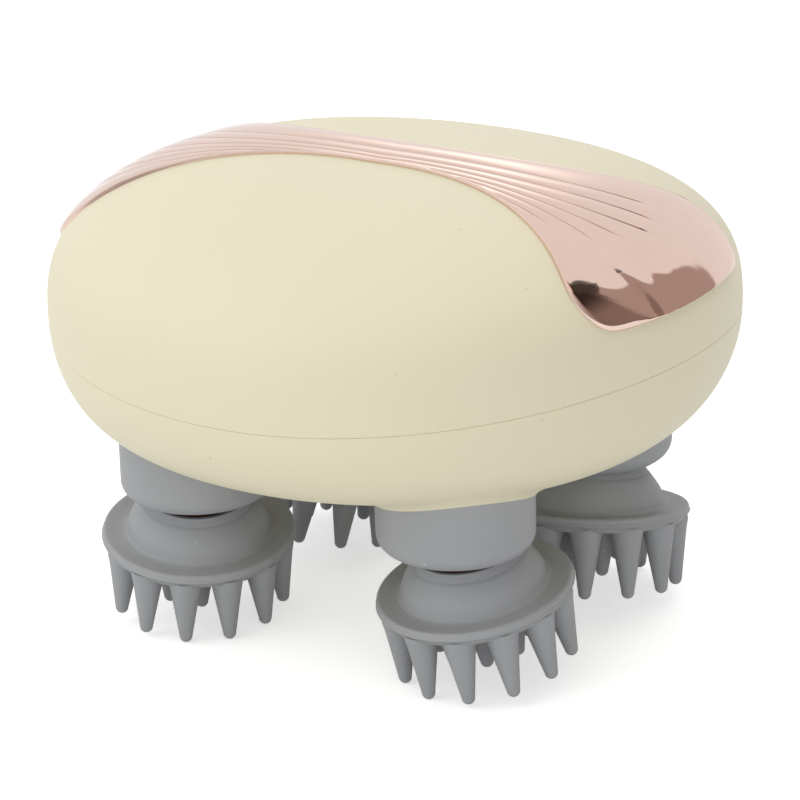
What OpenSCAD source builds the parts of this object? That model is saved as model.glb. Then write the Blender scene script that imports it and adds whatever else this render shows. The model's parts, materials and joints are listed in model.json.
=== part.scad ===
// Electric scalp massager: a rounded two-part case, a fluted plated trim strip over
// its dome, and four finger heads that swing on inclined crank pins underneath.
// Millimetres, +Z up, floor at z = 0, origin under the middle of the case.
// X runs along the trim strip, Y across it. Depths are measured from the widest level.

/* [Case] */
// Length of the case along the trim strip
case_length = 116; // [114:1:120]
// Width of the case across the trim strip
case_width = 112; // [110:1:116]
// Height of the dome above the widest level
dome_height = 25.3; // [24.5:0.1:27]
// Depth of the belly below the widest level
belly_depth = 22.2; // [22:0.1:22.6]
// Exponent of the outline seen from above, 2 is an ellipse
outline_exp = 2.05; // [2:0.01:2.2]
// Wall thickness of the two shells
wall = 2.2; // [2:0.1:2.4]
// Depth of the parting line at the middle of the case
parting_depth = 4.4; // [4:0.1:5]
// Rise of the parting line at the two ends of the case
parting_rise = 4.6; // [2:0.1:5]
// Gap between the shells, filled by the gasket
parting_gap = 0.3; // [0.2:0.05:0.4]

/* [Trim strip] */
// Half width of the strip's front side at the top of the dome
front_waist = 6.0; // [5:0.1:7]
// Extra half width of its front side, carried to the end of the case
front_spread = 31.0; // [29:0.1:33]
// Half width that its front side reaches at the corners
front_limit = 24.3; // [23:0.1:25]
// Half width of the strip's back side at the top of the dome
back_waist = 5.0; // [4.5:0.1:7]
// Extra half width of its back side, carried to the end of the case
back_spread = 30.9; // [29:0.1:33]
// Half width that its back side reaches at the corners
back_limit = 19.7; // [19:0.1:21]
// Height of the fan's lower edge above the widest level
trim_hem = 8.9; // [8:0.1:10]
// Distance from the middle at which the fan's corners start to round
trim_corner = 47; // [46:0.5:48]
// Thickness of the plated strip
trim_thickness = 0.7; // [0.6:0.05:0.8]
// Depth of the flutes
flute_depth = 0.3; // [0.2:0.02:0.4]

/* [Heads] */
// Distance of a head's axis from the middle, along the strip
head_x = 25.2; // [25:0.1:25.4]
// Tilt of the crank pins
tilt = 10.5; // [9:0.1:10.8]
// Depth of the point where a pin's axis meets its shaft's axis
pivot_depth = 20.65; // [20.4:0.05:20.8]
// Distance down the pin's axis to the brim of a head
brim_reach = 18.4; // [18.2:0.1:18.8]
// Radius of the brim
brim_radius = 16.2; // [15.5:0.1:16.4]
// Distance down the pin's axis to the fingertips
finger_reach = 32.6; // [31:0.1:34]
// Radius of the outer ring of fingers
finger_ring = 13.3; // [13:0.1:13.5]
// Outward lean of the outer fingers, measured at their tips
finger_splay = 0.95; // [0.5:0.05:1.2]
// Radius of an outer finger at its root
finger_root = 2.8; // [2.2:0.1:2.8]
// Radius of an inner finger at its root
inner_root = 2.5; // [2.2:0.1:2.6]
// Radius of a fingertip
finger_tip = 1.1; // [0.8:0.1:1.4]
// Outer radius of a boot
boot_radius = 13.0; // [12.8:0.1:13.1]
// Depth of a boot's lower face
boot_depth = 31.4; // [31:0.1:31.5]

/* [Gears] */
// Module of the drive gears
gear_mod = 0.8; // [0.8]
// Teeth of the central gear's upper tier
central_teeth = 50; // [50]
// Teeth of the front and rear drive gears
drive_teeth = 36; // [36]
// Teeth of the two idler gears
idler_teeth = 22; // [22]
// Module of the worm and its wheel
worm_mod = 0.6; // [0.6]
// Teeth of the worm wheel
wheel_teeth = 40; // [40]

/* [Hidden] */
$fn = 64;

cream = [0.90, 0.87, 0.78];
rose_gold = [0.88, 0.70, 0.62];
silicone = [0.60, 0.61, 0.62];
steel = [0.75, 0.76, 0.78];
brass = [0.80, 0.64, 0.35];
acetal = [0.93, 0.93, 0.90];
black = [0.12, 0.12, 0.13];
board_green = [0.10, 0.35, 0.20];

// ---- the case's surface ----
half_length = case_length / 2;
half_width = case_width / 2;
dome_exp_x = [2.47, 2.93];   // plan and height exponents of the dome, towards the ends
dome_exp_y = [1.70, 2.75];   // and towards the sides
belly_exp_x = [6.64, 1.73];  // the same for the belly
belly_exp_y = [5.01, 2.77];

// Value between kx (towards the ends) and ky (towards the sides); c is cos(2u)
function between(kx, ky, c) = sqrt(kx * ky) * pow(kx / ky, c / 2);
function signed_pow(v, e) = sign(v) * pow(abs(v), e);
// Share of the plan outline that is left at height z from the widest level
function share(c, z, inset) =
    let (ex = z > 0 ? dome_exp_x : belly_exp_x, ey = z > 0 ? dome_exp_y : belly_exp_y)
    let (h = (z > 0 ? dome_height : belly_depth) - inset)
    pow(max(0, 1 - pow(abs(z) / h, between(ex[1], ey[1], c))), 1 / between(ex[0], ey[0], c));
// Point of the surface in direction u at height z from the widest level
function skin(u, z, inset) =
    let (s = share(cos(2 * u), z, inset))
    [(half_length - inset) * s * signed_pow(cos(u), 2 / outline_exp),
     (half_width - inset) * s * signed_pow(sin(u), 2 / outline_exp), z];
// Height of the dome or depth of the belly over a plan point
function plan_share(x, y) =
    pow(pow(abs(x) / half_length, outline_exp) + pow(abs(y) / half_width, outline_exp),
        1 / outline_exp);
function plan_cos(x, y) =
    2 * pow(abs(x) / half_length / max(plan_share(x, y), 0.0001), outline_exp) - 1;
function over(x, y, h, ex, ey) =
    let (c = plan_cos(x, y), r = min(plan_share(x, y), 0.9999))
    h * pow(1 - pow(r, between(ex[0], ey[0], c)), 1 / between(ex[1], ey[1], c));
function dome_over(x, y) = over(x, y, dome_height, dome_exp_x, dome_exp_y);
function belly_under(x, y) = -over(x, y, belly_depth, belly_exp_x, belly_exp_y);
function parting(u) = -parting_depth + parting_rise * pow(abs(cos(u)), 4 / outline_exp);

// ---- heads and heights ----
signs = [[1, -1], [-1, -1], [1, 1], [-1, 1]];   // front, left, right, rear
lean = [66, 130, 291, 246];                     // direction in which each pin leans
finger_turn = [11.4, 14, 2.5, 8];               // turn of each finger ring on its pin
gear_span = gear_mod * (central_teeth + drive_teeth) / 2;
head_y = sqrt(gear_span * gear_span - head_x * head_x);
fingers = 12;
inner_fingers = 8;
function head_at(k) = [signs[k][0] * head_x, signs[k][1] * head_y];
function head_angle(k) = atan2(head_at(k)[1], head_at(k)[0]);
function tip_drop(k) = max([for (i = [0:fingers - 1])
    (finger_reach - finger_tip) * cos(tilt)
    - (finger_ring + finger_splay) * cos(finger_turn[k] + 360 / fingers * i) * sin(tilt)]);
mid = pivot_depth + max([for (k = [0:3]) tip_drop(k)]) + finger_tip;

seat_depth = 19.7;          // lower face of the case's four rims, where the boots sit
seat_thick = 1.3;
rim_radius = boot_radius + 0.4;
neck_radius = 8.5;          // boot neck inside the case
seal_radius = 6.5;
shaft_radius = 3;
pin_radius = 1.95;
tray = [-18.2, 2];          // lowest face from the widest level, and thickness
lower_tier = [-15.8, 3.5];
upper_tier = [-11.8, 3.5];
cover = [-7.9, 2];
tray_radius = 39.3;
cover_radius = 41;
fit = 0.05;                 // radial running clearance
post_places = [[34, 0], [-34, 0], [0, 27], [0, -27]];
case_screw_places = [[44, 0], [-44, 0], [18, 43], [-18, 43], [0, -44]];

// ---- worm drive ----
worm_pitch_radius = 3.6;
worm_radius = 3.5;
worm_wave = 0.6;            // height of the thread either side of worm_radius
worm_pitch = PI * worm_mod;
worm_turns = 4;
worm_y = worm_pitch_radius + worm_mod * wheel_teeth / 2;
worm_z = 2.1;               // all heights below are from the widest level
motor_length = 31;
motor_radius = 10.2;
motor_thick = 15.4;
motor_front = -11.5;

// ---- battery and boards ----
cell_radius = 9.2;
cell_length = 65;
cell_at = [-26, 3.6];       // y and height of its axis
main_board_size = [46, 34, 1.6];
main_board_at = [0, -2, 15];
board_post_places = [[20, 12], [-20, 12], [20, -16], [-20, -16]];
side_board_y = 38.7;
side_board_size = [28, 1.6, 26];
button_z = 7;
button_radius = 5.5;
button_back = 44.9;
port_z = -10.6;
port_plate = [13, 7];
plate_back = 52.6;          // face that the plug's plate rests on

// ---- helpers ----
module raise(z = 0) { translate([0, 0, mid + z]) children(); }
module at_head(k) {
    translate([head_at(k)[0], head_at(k)[1], mid - pivot_depth])
        rotate([0, -tilt, lean[k]]) children();
}
module over_shaft(k, z) { translate([head_at(k)[0], head_at(k)[1], mid + z]) children(); }
module ring(outer, inner, h) {
    difference() {
        cylinder(r = outer, h = h);
        translate([0, 0, -1]) cylinder(r = inner, h = h + 2);
    }
}
// Flat-sided oblong, w wide and h high, with round ends
module oblong(w, h) {
    union() {
        square([w - h, h], center = true);
        translate([(w - h) / 2, 0]) circle(r = h / 2);
        translate([-(w - h) / 2, 0]) circle(r = h / 2);
    }
}
// Oblong bar along Y from y0 to y1 at height z
module oblong_bar(w, h, y0, y1, z) {
    translate([0, y1, mid + z]) rotate([90, 0, 0]) linear_extrude(y1 - y0) oblong(w, h);
}
module y_rod(r, x, y0, y1, z) {
    translate([x, y1, mid + z]) rotate([90, 0, 0]) cylinder(r = r, h = y1 - y0);
}

// Triangles between "rows" rings of "n" points each, the first point being number "first"
function band(rows, n, first, flip) = [
    for (k = [0:rows - 2], i = [0:n - 1])
        let (a = first + k * n + i, b = first + k * n + (i + 1) % n)
        each (flip ? [[a, b, b + n], [a, b + n, a + n]] : [[a, b + n, b], [a, a + n, b + n]])
];
// Triangles from a ring of "n" points to its pole
function fan(n, first, pole, flip) = [
    for (i = [0:n - 1])
        let (a = first + i, b = first + (i + 1) % n)
        flip ? [a, b, pole] : [a, pole, b]
];

// One shell: side 1 is the dome above the parting line, side -1 the belly below it
module bowl(side, n, rows) {
    h = side > 0 ? dome_height : belly_depth;
    outer = [for (k = [0:rows - 1], i = [0:n - 1])
        let (u = 360 * i / n, z0 = parting(u) + side * parting_gap / 2)
        skin(u, z0 + (side * h - z0) * sin(90 * k / rows), 0)];
    inner = [for (k = [0:rows - 1], i = [0:n - 1])
        let (u = 360 * i / n, z0 = parting(u) + side * parting_gap / 2)
        skin(u, z0 + (side * (h - wall) - z0) * sin(90 * k / rows), wall)];
    count = rows * n;
    poles = [[0, 0, side * h], [0, 0, side * (h - wall)]];
    flip = side < 0;
    rim = [for (i = [0:n - 1])
        let (a = i, b = (i + 1) % n)
        each (flip ? [[a, b + count, b], [a, a + count, b + count]]
                   : [[a, b, b + count], [a, b + count, a + count]])];
    raise() polyhedron(
        points = concat(outer, inner, poles),
        faces = concat(
            band(rows, n, 0, flip), fan(n, (rows - 1) * n, 2 * count, flip),
            band(rows, n, count, !flip), fan(n, count + (rows - 1) * n, 2 * count + 1, !flip),
            rim));
}

// The whole case as one solid, for faces that follow its surface
module case_solid(inset) {
    n = 48;
    rows = 11;
    heights = [for (k = [1:rows - 1]) -cos(180 * k / rows)];
    points = [for (t = heights, i = [0:n - 1])
        skin(360 * i / n, t * ((t > 0 ? dome_height : belly_depth) - inset), inset)];
    low = len(points);
    poles = [[0, 0, inset - belly_depth], [0, 0, dome_height - inset]];
    raise() polyhedron(
        points = concat(points, poles),
        faces = concat(band(rows - 1, n, 0, false), fan(n, 0, low, true),
                       fan(n, (rows - 2) * n, low + 1, false)));
}

// Spur gear with involute flanks; "turn" is the direction of one tooth's middle
function involute(a) = tan(a) * 180 / PI - a;
function half_tooth(r, pitch_r, base_r, thick) =
    thick / (2 * pitch_r) * 180 / PI + involute(20) - involute(acos(min(1, base_r / r)));
module spur(teeth, mod, height, turn, tip_share = 0.95, backlash = 0.14) {
    pitch_r = mod * teeth / 2;
    base_r = pitch_r * cos(20);
    root_r = pitch_r - 1.25 * mod;
    start_r = max(root_r + 0.06, base_r);
    tip_r = pitch_r + tip_share * mod;
    thick = PI * mod / 2 - backlash;
    radii = [root_r, start_r, pitch_r, tip_r];
    halves = [for (r = [start_r, start_r, pitch_r, tip_r]) half_tooth(r, pitch_r, base_r, thick)];
    function at(r, a) = [r * cos(a), r * sin(a)];
    outline = [for (i = [0:teeth - 1]) let (a = turn + 360 * i / teeth) each concat(
        [for (j = [0:3]) at(radii[j], a - halves[j])],
        [for (j = [3:-1:0]) at(radii[j], a + halves[j])])];
    linear_extrude(height) polygon(outline);
}
// Turn of a gear with z2 teeth, in direction g from a gear with z1 teeth turned by t1
function meshed(g, z1, t1, z2) = g + 180 + 180 / z2 + (g - t1) * z1 / z2;

// The lower tier has half the teeth, and an idler between it and the left and right gears
low_central = central_teeth / 2;
low_drive = drive_teeth / 2;
idler_span = gear_mod * (low_central + idler_teeth) / 2;
idler_to_drive = gear_mod * (idler_teeth + low_drive) / 2;
idler_swing = acos((idler_span * idler_span + gear_span * gear_span
    - idler_to_drive * idler_to_drive) / (2 * idler_span * gear_span));
function idler_angle(k) = head_angle(k) + idler_swing;
function idler_at(k) = idler_span * [cos(idler_angle(k)), sin(idler_angle(k))];
function idler_turn(k) = meshed(idler_angle(k), low_central, 0, idler_teeth);
function low_turn(k) =
    let (d = head_at(k) - idler_at(k))
    meshed(atan2(d[1], d[0]), idler_teeth, idler_turn(k), low_drive);

// ---- case ----
// Top of a post that ends inside the dome's wall
function post_top(p, r) = dome_over(p[0] * (1 + r / norm(p)), p[1] * (1 + r / norm(p))) - 0.4;
function post_foot(p, r) = belly_under(p[0] * (1 + r / norm(p)), p[1] * (1 + r / norm(p))) + 0.4;

module upper_shell() {
    boss = 3;
    color(cream) difference() {
        union() {
            bowl(1, 64, 13);
            for (p = case_screw_places) translate([p[0], p[1], mid + cover[0] + cover[1]])
                cylinder(r = boss, h = post_top(p, boss) - cover[0] - cover[1]);
            for (p = board_post_places)
                translate([p[0], p[1], mid + main_board_at[2] + main_board_size[2]])
                    cylinder(r = 2.2, h = post_top(p, 2.2) - main_board_at[2] - main_board_size[2]);
        }
        for (p = case_screw_places) translate([p[0], p[1], mid + cover[0]])
            cylinder(r = 1.35, h = 16);
        for (p = board_post_places) translate([p[0], p[1], mid + main_board_at[2]])
            cylinder(r = 0.85, h = 5.5);
        y_rod(button_radius + 0.15, 0, 41, 60, button_z);
        y_rod(1.3, 10.5, 41, 60, button_z);
        trim_pegs();
    }
}

function case_seat(p) = post_foot(p, 3.6) + 3.2;
module lower_shell() {
    boss = 3.6;
    color(cream) difference() {
        union() {
            bowl(-1, 64, 11);
            difference() {
                for (k = [0:3]) over_shaft(k, -seat_depth) cylinder(r = rim_radius, h = 3);
                raise(-seat_depth + seat_thick) cylinder(r = tray_radius + 0.7, h = 3);
            }
            for (p = case_screw_places) translate([p[0], p[1], mid + post_foot(p, boss)])
                cylinder(r = boss, h = cover[0] - post_foot(p, boss));
        }
        for (k = [0:3]) {
            over_shaft(k, -seat_depth - 5) cylinder(r = boot_radius + 0.1, h = 5);
            over_shaft(k, -seat_depth - 1) cylinder(r = neck_radius + 0.1, h = 6);
        }
        for (p = case_screw_places) {
            translate([p[0], p[1], mid - 30]) cylinder(r = 1.5, h = 30);
            translate([p[0], p[1], mid - 30]) cylinder(r = 2.6, h = 30 + case_seat(p));
        }
        oblong_bar(9.4, 3.8, 45, 60, port_z);
        oblong_bar(port_plate[0] + 0.3, port_plate[1] + 0.3, plate_back, 60, port_z);
    }
}

// Flat ring in the parting gap
module seam_gasket() {
    n = 64;
    insets = [0.5, 1.7];
    levels = [-1, 1] * (parting_gap / 2 - 0.005);
    corners = [[0, 0], [1, 0], [1, 1], [0, 1]];     // inset and level of each corner line
    points = [for (c = corners, i = [0:n - 1])
        let (u = 360 * i / n, z = parting(u) + levels[c[1]])
        skin(u, z, insets[c[0]])];
    faces = [for (c = [0:3], i = [0:n - 1])
        let (a = c * n + i, b = c * n + (i + 1) % n,
             d = ((c + 1) % 4) * n + i, e = ((c + 1) % 4) * n + (i + 1) % n)
        each [[a, d, e], [a, e, b]]];
    color(black) raise() polyhedron(points = points, faces = faces);
}

// ---- trim strip ----
trim_blend = 24;            // sharpness with which the growing width meets its limit
function side_half(x, waist, spread, power, limit) =
    let (w = waist + spread * pow(abs(x) / half_length, power))
    pow(pow(w, -trim_blend) + pow(limit, -trim_blend), -1 / trim_blend);
// Half width at x on the side of share v across the strip, from -1 in front to 1 at the back
function trim_half(x, v) =
    v < 0 ? side_half(x, front_waist, front_spread, 2.46, front_limit)
          : side_half(x, back_waist, back_spread, 2.7, back_limit);
// Distance along X at which the dome's level line at the hem passes over y
function hem_x(y) =
    let (s = pow(1 - pow(trim_hem / dome_height, dome_exp_x[1]), 1 / dome_exp_x[0]))
    half_length * s * pow(1 - pow(abs(y) / (half_width * s), outline_exp), 1 / outline_exp);
function hem_cross(v, x, left) = left == 0 ? x : hem_cross(v, hem_x(v * trim_half(x, v)), left - 1);
// Distance from the middle at which the line at share v ends
function trim_end(v) =
    trim_corner + (hem_cross(v, 52, 4) - trim_corner) * sqrt(1 - pow(abs(v), 20));
// Valleys between the flutes, from front to back: share across the strip at its middle,
// growth of the share out to valley_reach from there, and the growth's exponent
valleys = [[-1.33, 0.68, 1], [-1.2, 0.73, 1], [-1.13, 0.86, 1],
           [-0.76, 0.70, 1.38], [-0.49, 0.66, 1.34], [0, 0.43, 1.38]];
valley_reach = 46;
full_flute = 4.5;           // flutes at least this wide have the whole depth
flutes = len(valleys) + 1;
function valley(k, x) =
    k == 0 ? -1 : k == flutes ? 1 : let (r = valleys[k - 1])
    max(-1 + 0.02 * k, r[0] + r[1] * pow(min(1, abs(x) / valley_reach), r[2]));
function valley_y(k, x) = let (v = valley(k, x)) v * trim_half(x, v);
// Share across the strip at count p of flutes, and the depth under the widest crests there
function flute_share(p, x) =
    let (k = min(floor(p), flutes - 1))
    valley(k, x) + (p - k) * (valley(k + 1, x) - valley(k, x));
function flute(p, x) =
    let (k = min(floor(p), flutes - 1), w = 2 * (p - k) - 1)
    let (wide = valley_y(k + 1, x) - valley_y(k, x))
    flute_depth * (1 - 0.55 * min(1, pow(abs(x) / valley_reach, 3)))
        * (1 - min(1, wide / full_flute) * (1 - w * w));
function lifted(p, o) = [p[0] * (1 + o / half_length), p[1] * (1 + o / half_width),
                         p[2] * (1 + o / dome_height)];
// Point of the strip at share v across and share t along, "o" above the dome
function trim_point(v, t, o) =
    let (x = t * trim_end(v), y = v * trim_half(x, v))
    lifted([x, y, dome_over(x, y)], o);
// Pegs that hold the strip in holes of the dome
module trim_pegs() {
    for (x = [-34, -12, 12, 34]) translate([x, 0, mid + dome_over(x, 0) - wall - 1])
        cylinder(r = 1.2, h = wall + 1.3);
}
// Plated strip: the dome's surface lifted by the flutes' height, over the plain dome's surface
module trim_strip() {
    along = 28;
    low = 0.1;
    rows = [for (i = [0:along]) let (t = 2 * i / along - 1) sin(90 * t) * 0.75 + t * 0.25];
    counts = concat([0, 0.02, 0.06, 0.12], [for (p = [0.25:0.25:flutes - 0.75]) p],
                    [for (d = [0.5, 0.3, 0.17, 0.08, 0.03, 0.01, 0]) flutes - d]);
    n = len(counts);
    across = n - 1;
    reach = trim_end(0);
    top = [for (t = rows, p = counts)
        trim_point(flute_share(p, t * reach), t, low + trim_thickness - flute(p, t * reach))];
    under = [for (t = rows, p = counts) trim_point(flute_share(p, t * reach), t, low)];
    m = len(top);
    faces = [for (i = [0:along - 1], j = [0:across - 1])
        let (a = i * n + j, b = a + 1, c = a + n, d = c + 1)
        each [[a, d, c], [a, b, d], [m + a, m + c, m + d], [m + a, m + d, m + b]]];
    edge = concat(
        [for (j = [0:across - 1]) [j, j + 1]],
        [for (i = [0:along - 1]) [i * n + across, (i + 1) * n + across]],
        [for (j = [across:-1:1]) [along * n + j, along * n + j - 1]],
        [for (i = [along:-1:1]) [i * n, (i - 1) * n]]);
    sides = [for (e = edge) each [[e[0], m + e[0], m + e[1]], [e[0], m + e[1], e[1]]]];
    color(rose_gold) union() {
        raise() polyhedron(points = concat(top, under), faces = concat(faces, sides));
        trim_pegs();
    }
}

// ---- boots and seals ----
module boot(k) {
    round_r = 3.1;
    inner = 11.2;
    mouth = 10.75;
    web = 1.5;
    neck = 1.1;
    arc = [for (a = [0:12:72]) [boot_radius - round_r + round_r * cos(a),
                                -boot_depth + round_r - round_r * sin(a)]];
    outline = concat(
        [[seal_radius, -seat_depth + neck], [neck_radius, -seat_depth + neck],
         [neck_radius, -seat_depth], [boot_radius, -seat_depth]],
        arc,
        [[mouth, -boot_depth + 0.11], [mouth, -boot_depth + 0.9], [inner, -boot_depth + 1.9],
         [inner, -seat_depth - web], [seal_radius, -seat_depth - web]]);
    color(silicone) over_shaft(k, 0) rotate_extrude() polygon(outline);
}
module shaft_seals() {
    color(black) for (k = [0:3]) over_shaft(k, -seat_depth - 1.5)
        ring(seal_radius, shaft_radius + fit, 2.6);
}

// ---- gear frame ----
module frame_holes(z, h) {
    for (k = [0:3]) over_shaft(k, z) cylinder(r = 4.5, h = h);
    raise(z) cylinder(r = 3.5, h = h);
}
module gear_tray() {
    color(acetal) difference() {
        raise(tray[0]) cylinder(r = tray_radius, h = tray[1]);
        frame_holes(tray[0] - 1, tray[1] + 2);
        for (p = post_places) translate([p[0], p[1], mid + tray[0] - 1]) cylinder(r = 1.2, h = 4);
        for (k = [1, 2]) translate([idler_at(k)[0], idler_at(k)[1], mid + tray[0] - 1])
            cylinder(r = 1.5, h = 4);
    }
}
// Direction of a case screw's ear, straight back onto the cover's disc
function ear_turn(p) = abs(p[0]) > abs(p[1]) ? (p[0] > 0 ? 180 : 0) : (p[1] > 0 ? -90 : 90);
module gear_cover() {
    post = 2.5;
    color(acetal) difference() {
        union() {
            raise(cover[0]) cylinder(r = cover_radius, h = cover[1]);
            for (p = post_places) translate([p[0], p[1], mid + tray[0] + tray[1]])
                cylinder(r = post, h = cover[0] - tray[0] - tray[1] + 1);
            for (p = case_screw_places) translate([p[0], p[1], mid + cover[0]])
                rotate([0, 0, ear_turn(p)]) translate([0, -2.5, 0]) cube([10, 5, cover[1]]);
            for (p = case_screw_places) translate([p[0], p[1], mid + cover[0]])
                cylinder(r = 3.2, h = cover[1]);
            for (x = [-13, 8]) translate([x, side_board_y - 2, mid + cover[0]]) cube([5, 2, 14]);
        }
        frame_holes(cover[0] - 1, cover[1] + 2);
        translate([-14.5, side_board_y, mid + cover[0] - 1]) cube([29, 6, cover[1] + 2]);
        for (p = post_places) translate([p[0], p[1], mid + tray[0]]) cylinder(r = 1, h = 9);
        for (p = case_screw_places) translate([p[0], p[1], mid + cover[0] - 1])
            cylinder(r = 1.6, h = 4);
        for (x = [-10.5, 10.5]) y_rod(0.85, x, side_board_y - 4, side_board_y + 1, 2);
    }
}
module screw(head_r, head_h, shank_r, shank_h) {
    difference() {
        union() {
            translate([0, 0, -head_h]) cylinder(r = head_r, h = head_h);
            cylinder(r = shank_r, h = shank_h);
        }
        translate([0, 0, -head_h - 0.1]) cylinder(r = shank_r * 0.7, h = 0.9, $fn = 6);
    }
}
module frame_screws() {
    color(steel) for (p = post_places) translate([p[0], p[1], mid + tray[0]])
        screw(2.1, 1, 0.95, 7.5);
}
module case_screws() {
    color(steel) for (p = case_screw_places) translate([p[0], p[1], mid + case_seat(p)])
        screw(2.4, 1.5, 1.3, 4 - case_seat(p));
}
// Flanged bushes for the four drive shafts and the central shaft
module shaft_bushes() {
    color(brass) {
        for (k = [0:3]) {
            over_shaft(k, tray[0] - 0.2) ring(4.5, shaft_radius + fit, tray[1] + 0.2);
            over_shaft(k, cover[0]) ring(4.5, shaft_radius + fit, cover[1]);
        }
        raise(tray[0]) ring(3.5, 2 + fit, tray[1]);
        raise(cover[0]) ring(3.5, 2 + fit, cover[1] + 1.2);
    }
}
module idler_axles() {
    color(steel) for (k = [1, 2]) translate([idler_at(k)[0], idler_at(k)[1], mid + tray[0]])
        cylinder(r = 1.5, h = lower_tier[0] + lower_tier[1] - tray[0]);
}

// ---- motor ----
module can_outline(r, thick) {
    intersection() {
        circle(r = r);
        square([thick, 3 * r], center = true);
    }
}
module x_extrude(x0, x1) {
    translate([x0, worm_y, mid + worm_z]) rotate([0, 90, 0]) linear_extrude(x1 - x0) children();
}
module x_rod(r, x0, x1) { x_extrude(x0, x1) circle(r = r); }
motor_back = motor_front - motor_length;
module motor_can() {
    color(steel) difference() {
        union() {
            x_extrude(motor_back + 3, motor_front) can_outline(motor_radius, motor_thick);
            x_rod(3, motor_front, motor_front + 1.5);
        }
        x_rod(1.6, motor_front - 5, motor_front + 2);
    }
}
module motor_cap() {
    color(black) union() {
        x_extrude(motor_back, motor_back + 3) can_outline(motor_radius - 0.4, motor_thick - 0.6);
        x_rod(2.6, motor_back - 1, motor_back);
        for (y = [-6, 6]) translate([motor_back - 2.5, worm_y + y - 0.25, mid + worm_z - 1])
            cube([2.5, 0.5, 2]);
    }
}
// Strap over the motor, screwed down to the gear cover
module motor_clamp() {
    x0 = -33;
    w = 9;
    base = cover[0] + cover[1];
    top = worm_z + motor_thick / 2 + 1.6;
    color(steel) difference() {
        union() {
            translate([x0, worm_y - 11.8, mid + base]) cube([w, 23.6, top - base]);
            translate([x0, worm_y - 15.6, mid + base]) cube([w, 31.2, 1.2]);
        }
        x_extrude(x0 - 1, x0 + w + 1) can_outline(motor_radius + 0.02, motor_thick + 0.1);
        translate([x0 - 1, worm_y - motor_radius, mid + base - 1])
            cube([w + 2, 2 * motor_radius, worm_z - base + 1]);
        for (y = [-13.7, 13.7]) translate([x0 + w / 2, worm_y + y, mid + base - 1])
            cylinder(r = 1, h = 4);
    }
}
module worm_bracket() {
    x0 = 9.6;
    base = cover[0] + cover[1];
    color(acetal) difference() {
        union() {
            translate([x0, worm_y - 4, mid + base]) cube([3, 8, worm_z - base]);
            x_rod(4, x0, x0 + 3);
            translate([x0, worm_y - 7, mid + base]) cube([3, 14, 1.5]);
        }
        x_rod(1.5 + fit, x0 - 1, x0 + 4);
    }
}
module worm() {
    length = worm_turns * worm_pitch;
    color(brass) union() {
        translate([-length / 2, worm_y, mid + worm_z]) rotate([0, 90, 0])
            linear_extrude(length, twist = 360 * worm_turns, slices = worm_turns * 12)
                translate([0, -worm_wave]) circle(r = worm_radius, $fn = 16);
        x_rod(1.5, motor_front - 4.5, 12.4);
    }
}

// ---- battery and boards ----
module cell_rod(r, x0, x1) {
    translate([x0, cell_at[0], mid + cell_at[1]]) rotate([0, 90, 0]) cylinder(r = r, h = x1 - x0);
}
module battery_cell() {
    color([0.25, 0.45, 0.65]) union() {
        cell_rod(cell_radius, -cell_length / 2, cell_length / 2 - 1);
        cell_rod(3, cell_length / 2 - 1, cell_length / 2);
    }
}
module battery_cradle() {
    base = cover[0] + cover[1];
    color(black) difference() {
        translate([-34.5, cell_at[0] - 10.4, mid + base]) cube([69, 20.8, cell_at[1] - base]);
        cell_rod(cell_radius + 0.02, -cell_length / 2 - 0.1, cell_length / 2 + 0.1);
        translate([-15, cell_at[0] - 12, mid + base + 1.2]) cube([30, 24, 12]);
    }
}
// Two leads from the cell's ends to the main board
module battery_leads() {
    color([0.7, 0.15, 0.12]) for (s = [-1, 1]) {
        translate([s * 33.2, cell_at[0], mid + cell_at[1]]) cylinder(r = 0.6, h = 11.9);
        translate([s * 33.2, cell_at[0], mid + cell_at[1] + 11.9])
            rotate([0, -90 * s, 0]) cylinder(r = 0.6, h = 13);
        translate([s * 33.2, cell_at[0], mid + cell_at[1] + 11.9]) sphere(r = 0.6);
        translate([s * 20.2, cell_at[0], mid + cell_at[1] + 11.9]) sphere(r = 0.6);
        translate([s * 20.2, cell_at[0], mid + cell_at[1] + 11.9])
            rotate([-90, 0, 0]) cylinder(r = 0.6, h = 7);
    }
}
module main_board() {
    color(board_green) difference() {
        translate([main_board_at[0] - main_board_size[0] / 2,
                   main_board_at[1] - main_board_size[1] / 2, mid + main_board_at[2]])
            cube(main_board_size);
        for (p = board_post_places) translate([p[0], p[1], mid + main_board_at[2] - 1])
            cylinder(r = 1.1, h = 4);
    }
}
module board_parts() {
    z = mid + main_board_at[2] + main_board_size[2];
    color(black) {
        translate([-5, -6, z]) cube([8, 8, 1.2]);
        translate([8, 2, z]) cube([5, 4, 1.1]);
        translate([-16, -4, z]) cube([6, 6, 2.6]);
        translate([9, -10, z]) cylinder(r = 2.5, h = 3);
        translate([-12, 8, z]) cube([9, 4, 3]);
        translate([-4, 8, z]) cube([9, 4, 3]);
    }
}
module board_screws() {
    color(steel) {
        for (p = board_post_places) translate([p[0], p[1], mid + main_board_at[2]])
            screw(1.8, 0.8, 0.8, 5);
        for (x = [-10.5, 10.5])
            translate([x, side_board_y + side_board_size[1], mid + 2]) rotate([90, 0, 0])
                screw(1.6, 0.8, 0.8, 3.4);
    }
}
side_board_face = side_board_y + side_board_size[1];
module side_board() {
    color(board_green) difference() {
        translate([-14, side_board_y, mid - 14]) cube(side_board_size);
        for (x = [-10.5, 10.5]) y_rod(0.9, x, side_board_y - 1, side_board_face + 1, 2);
    }
}
module touch_switch() {
    color(black) union() {
        translate([-3, side_board_face, mid + button_z - 3]) cube([6, 3.5, 6]);
        y_rod(1.7, 0, side_board_face + 3.4, button_back - 0.7, button_z);
    }
}
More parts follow.
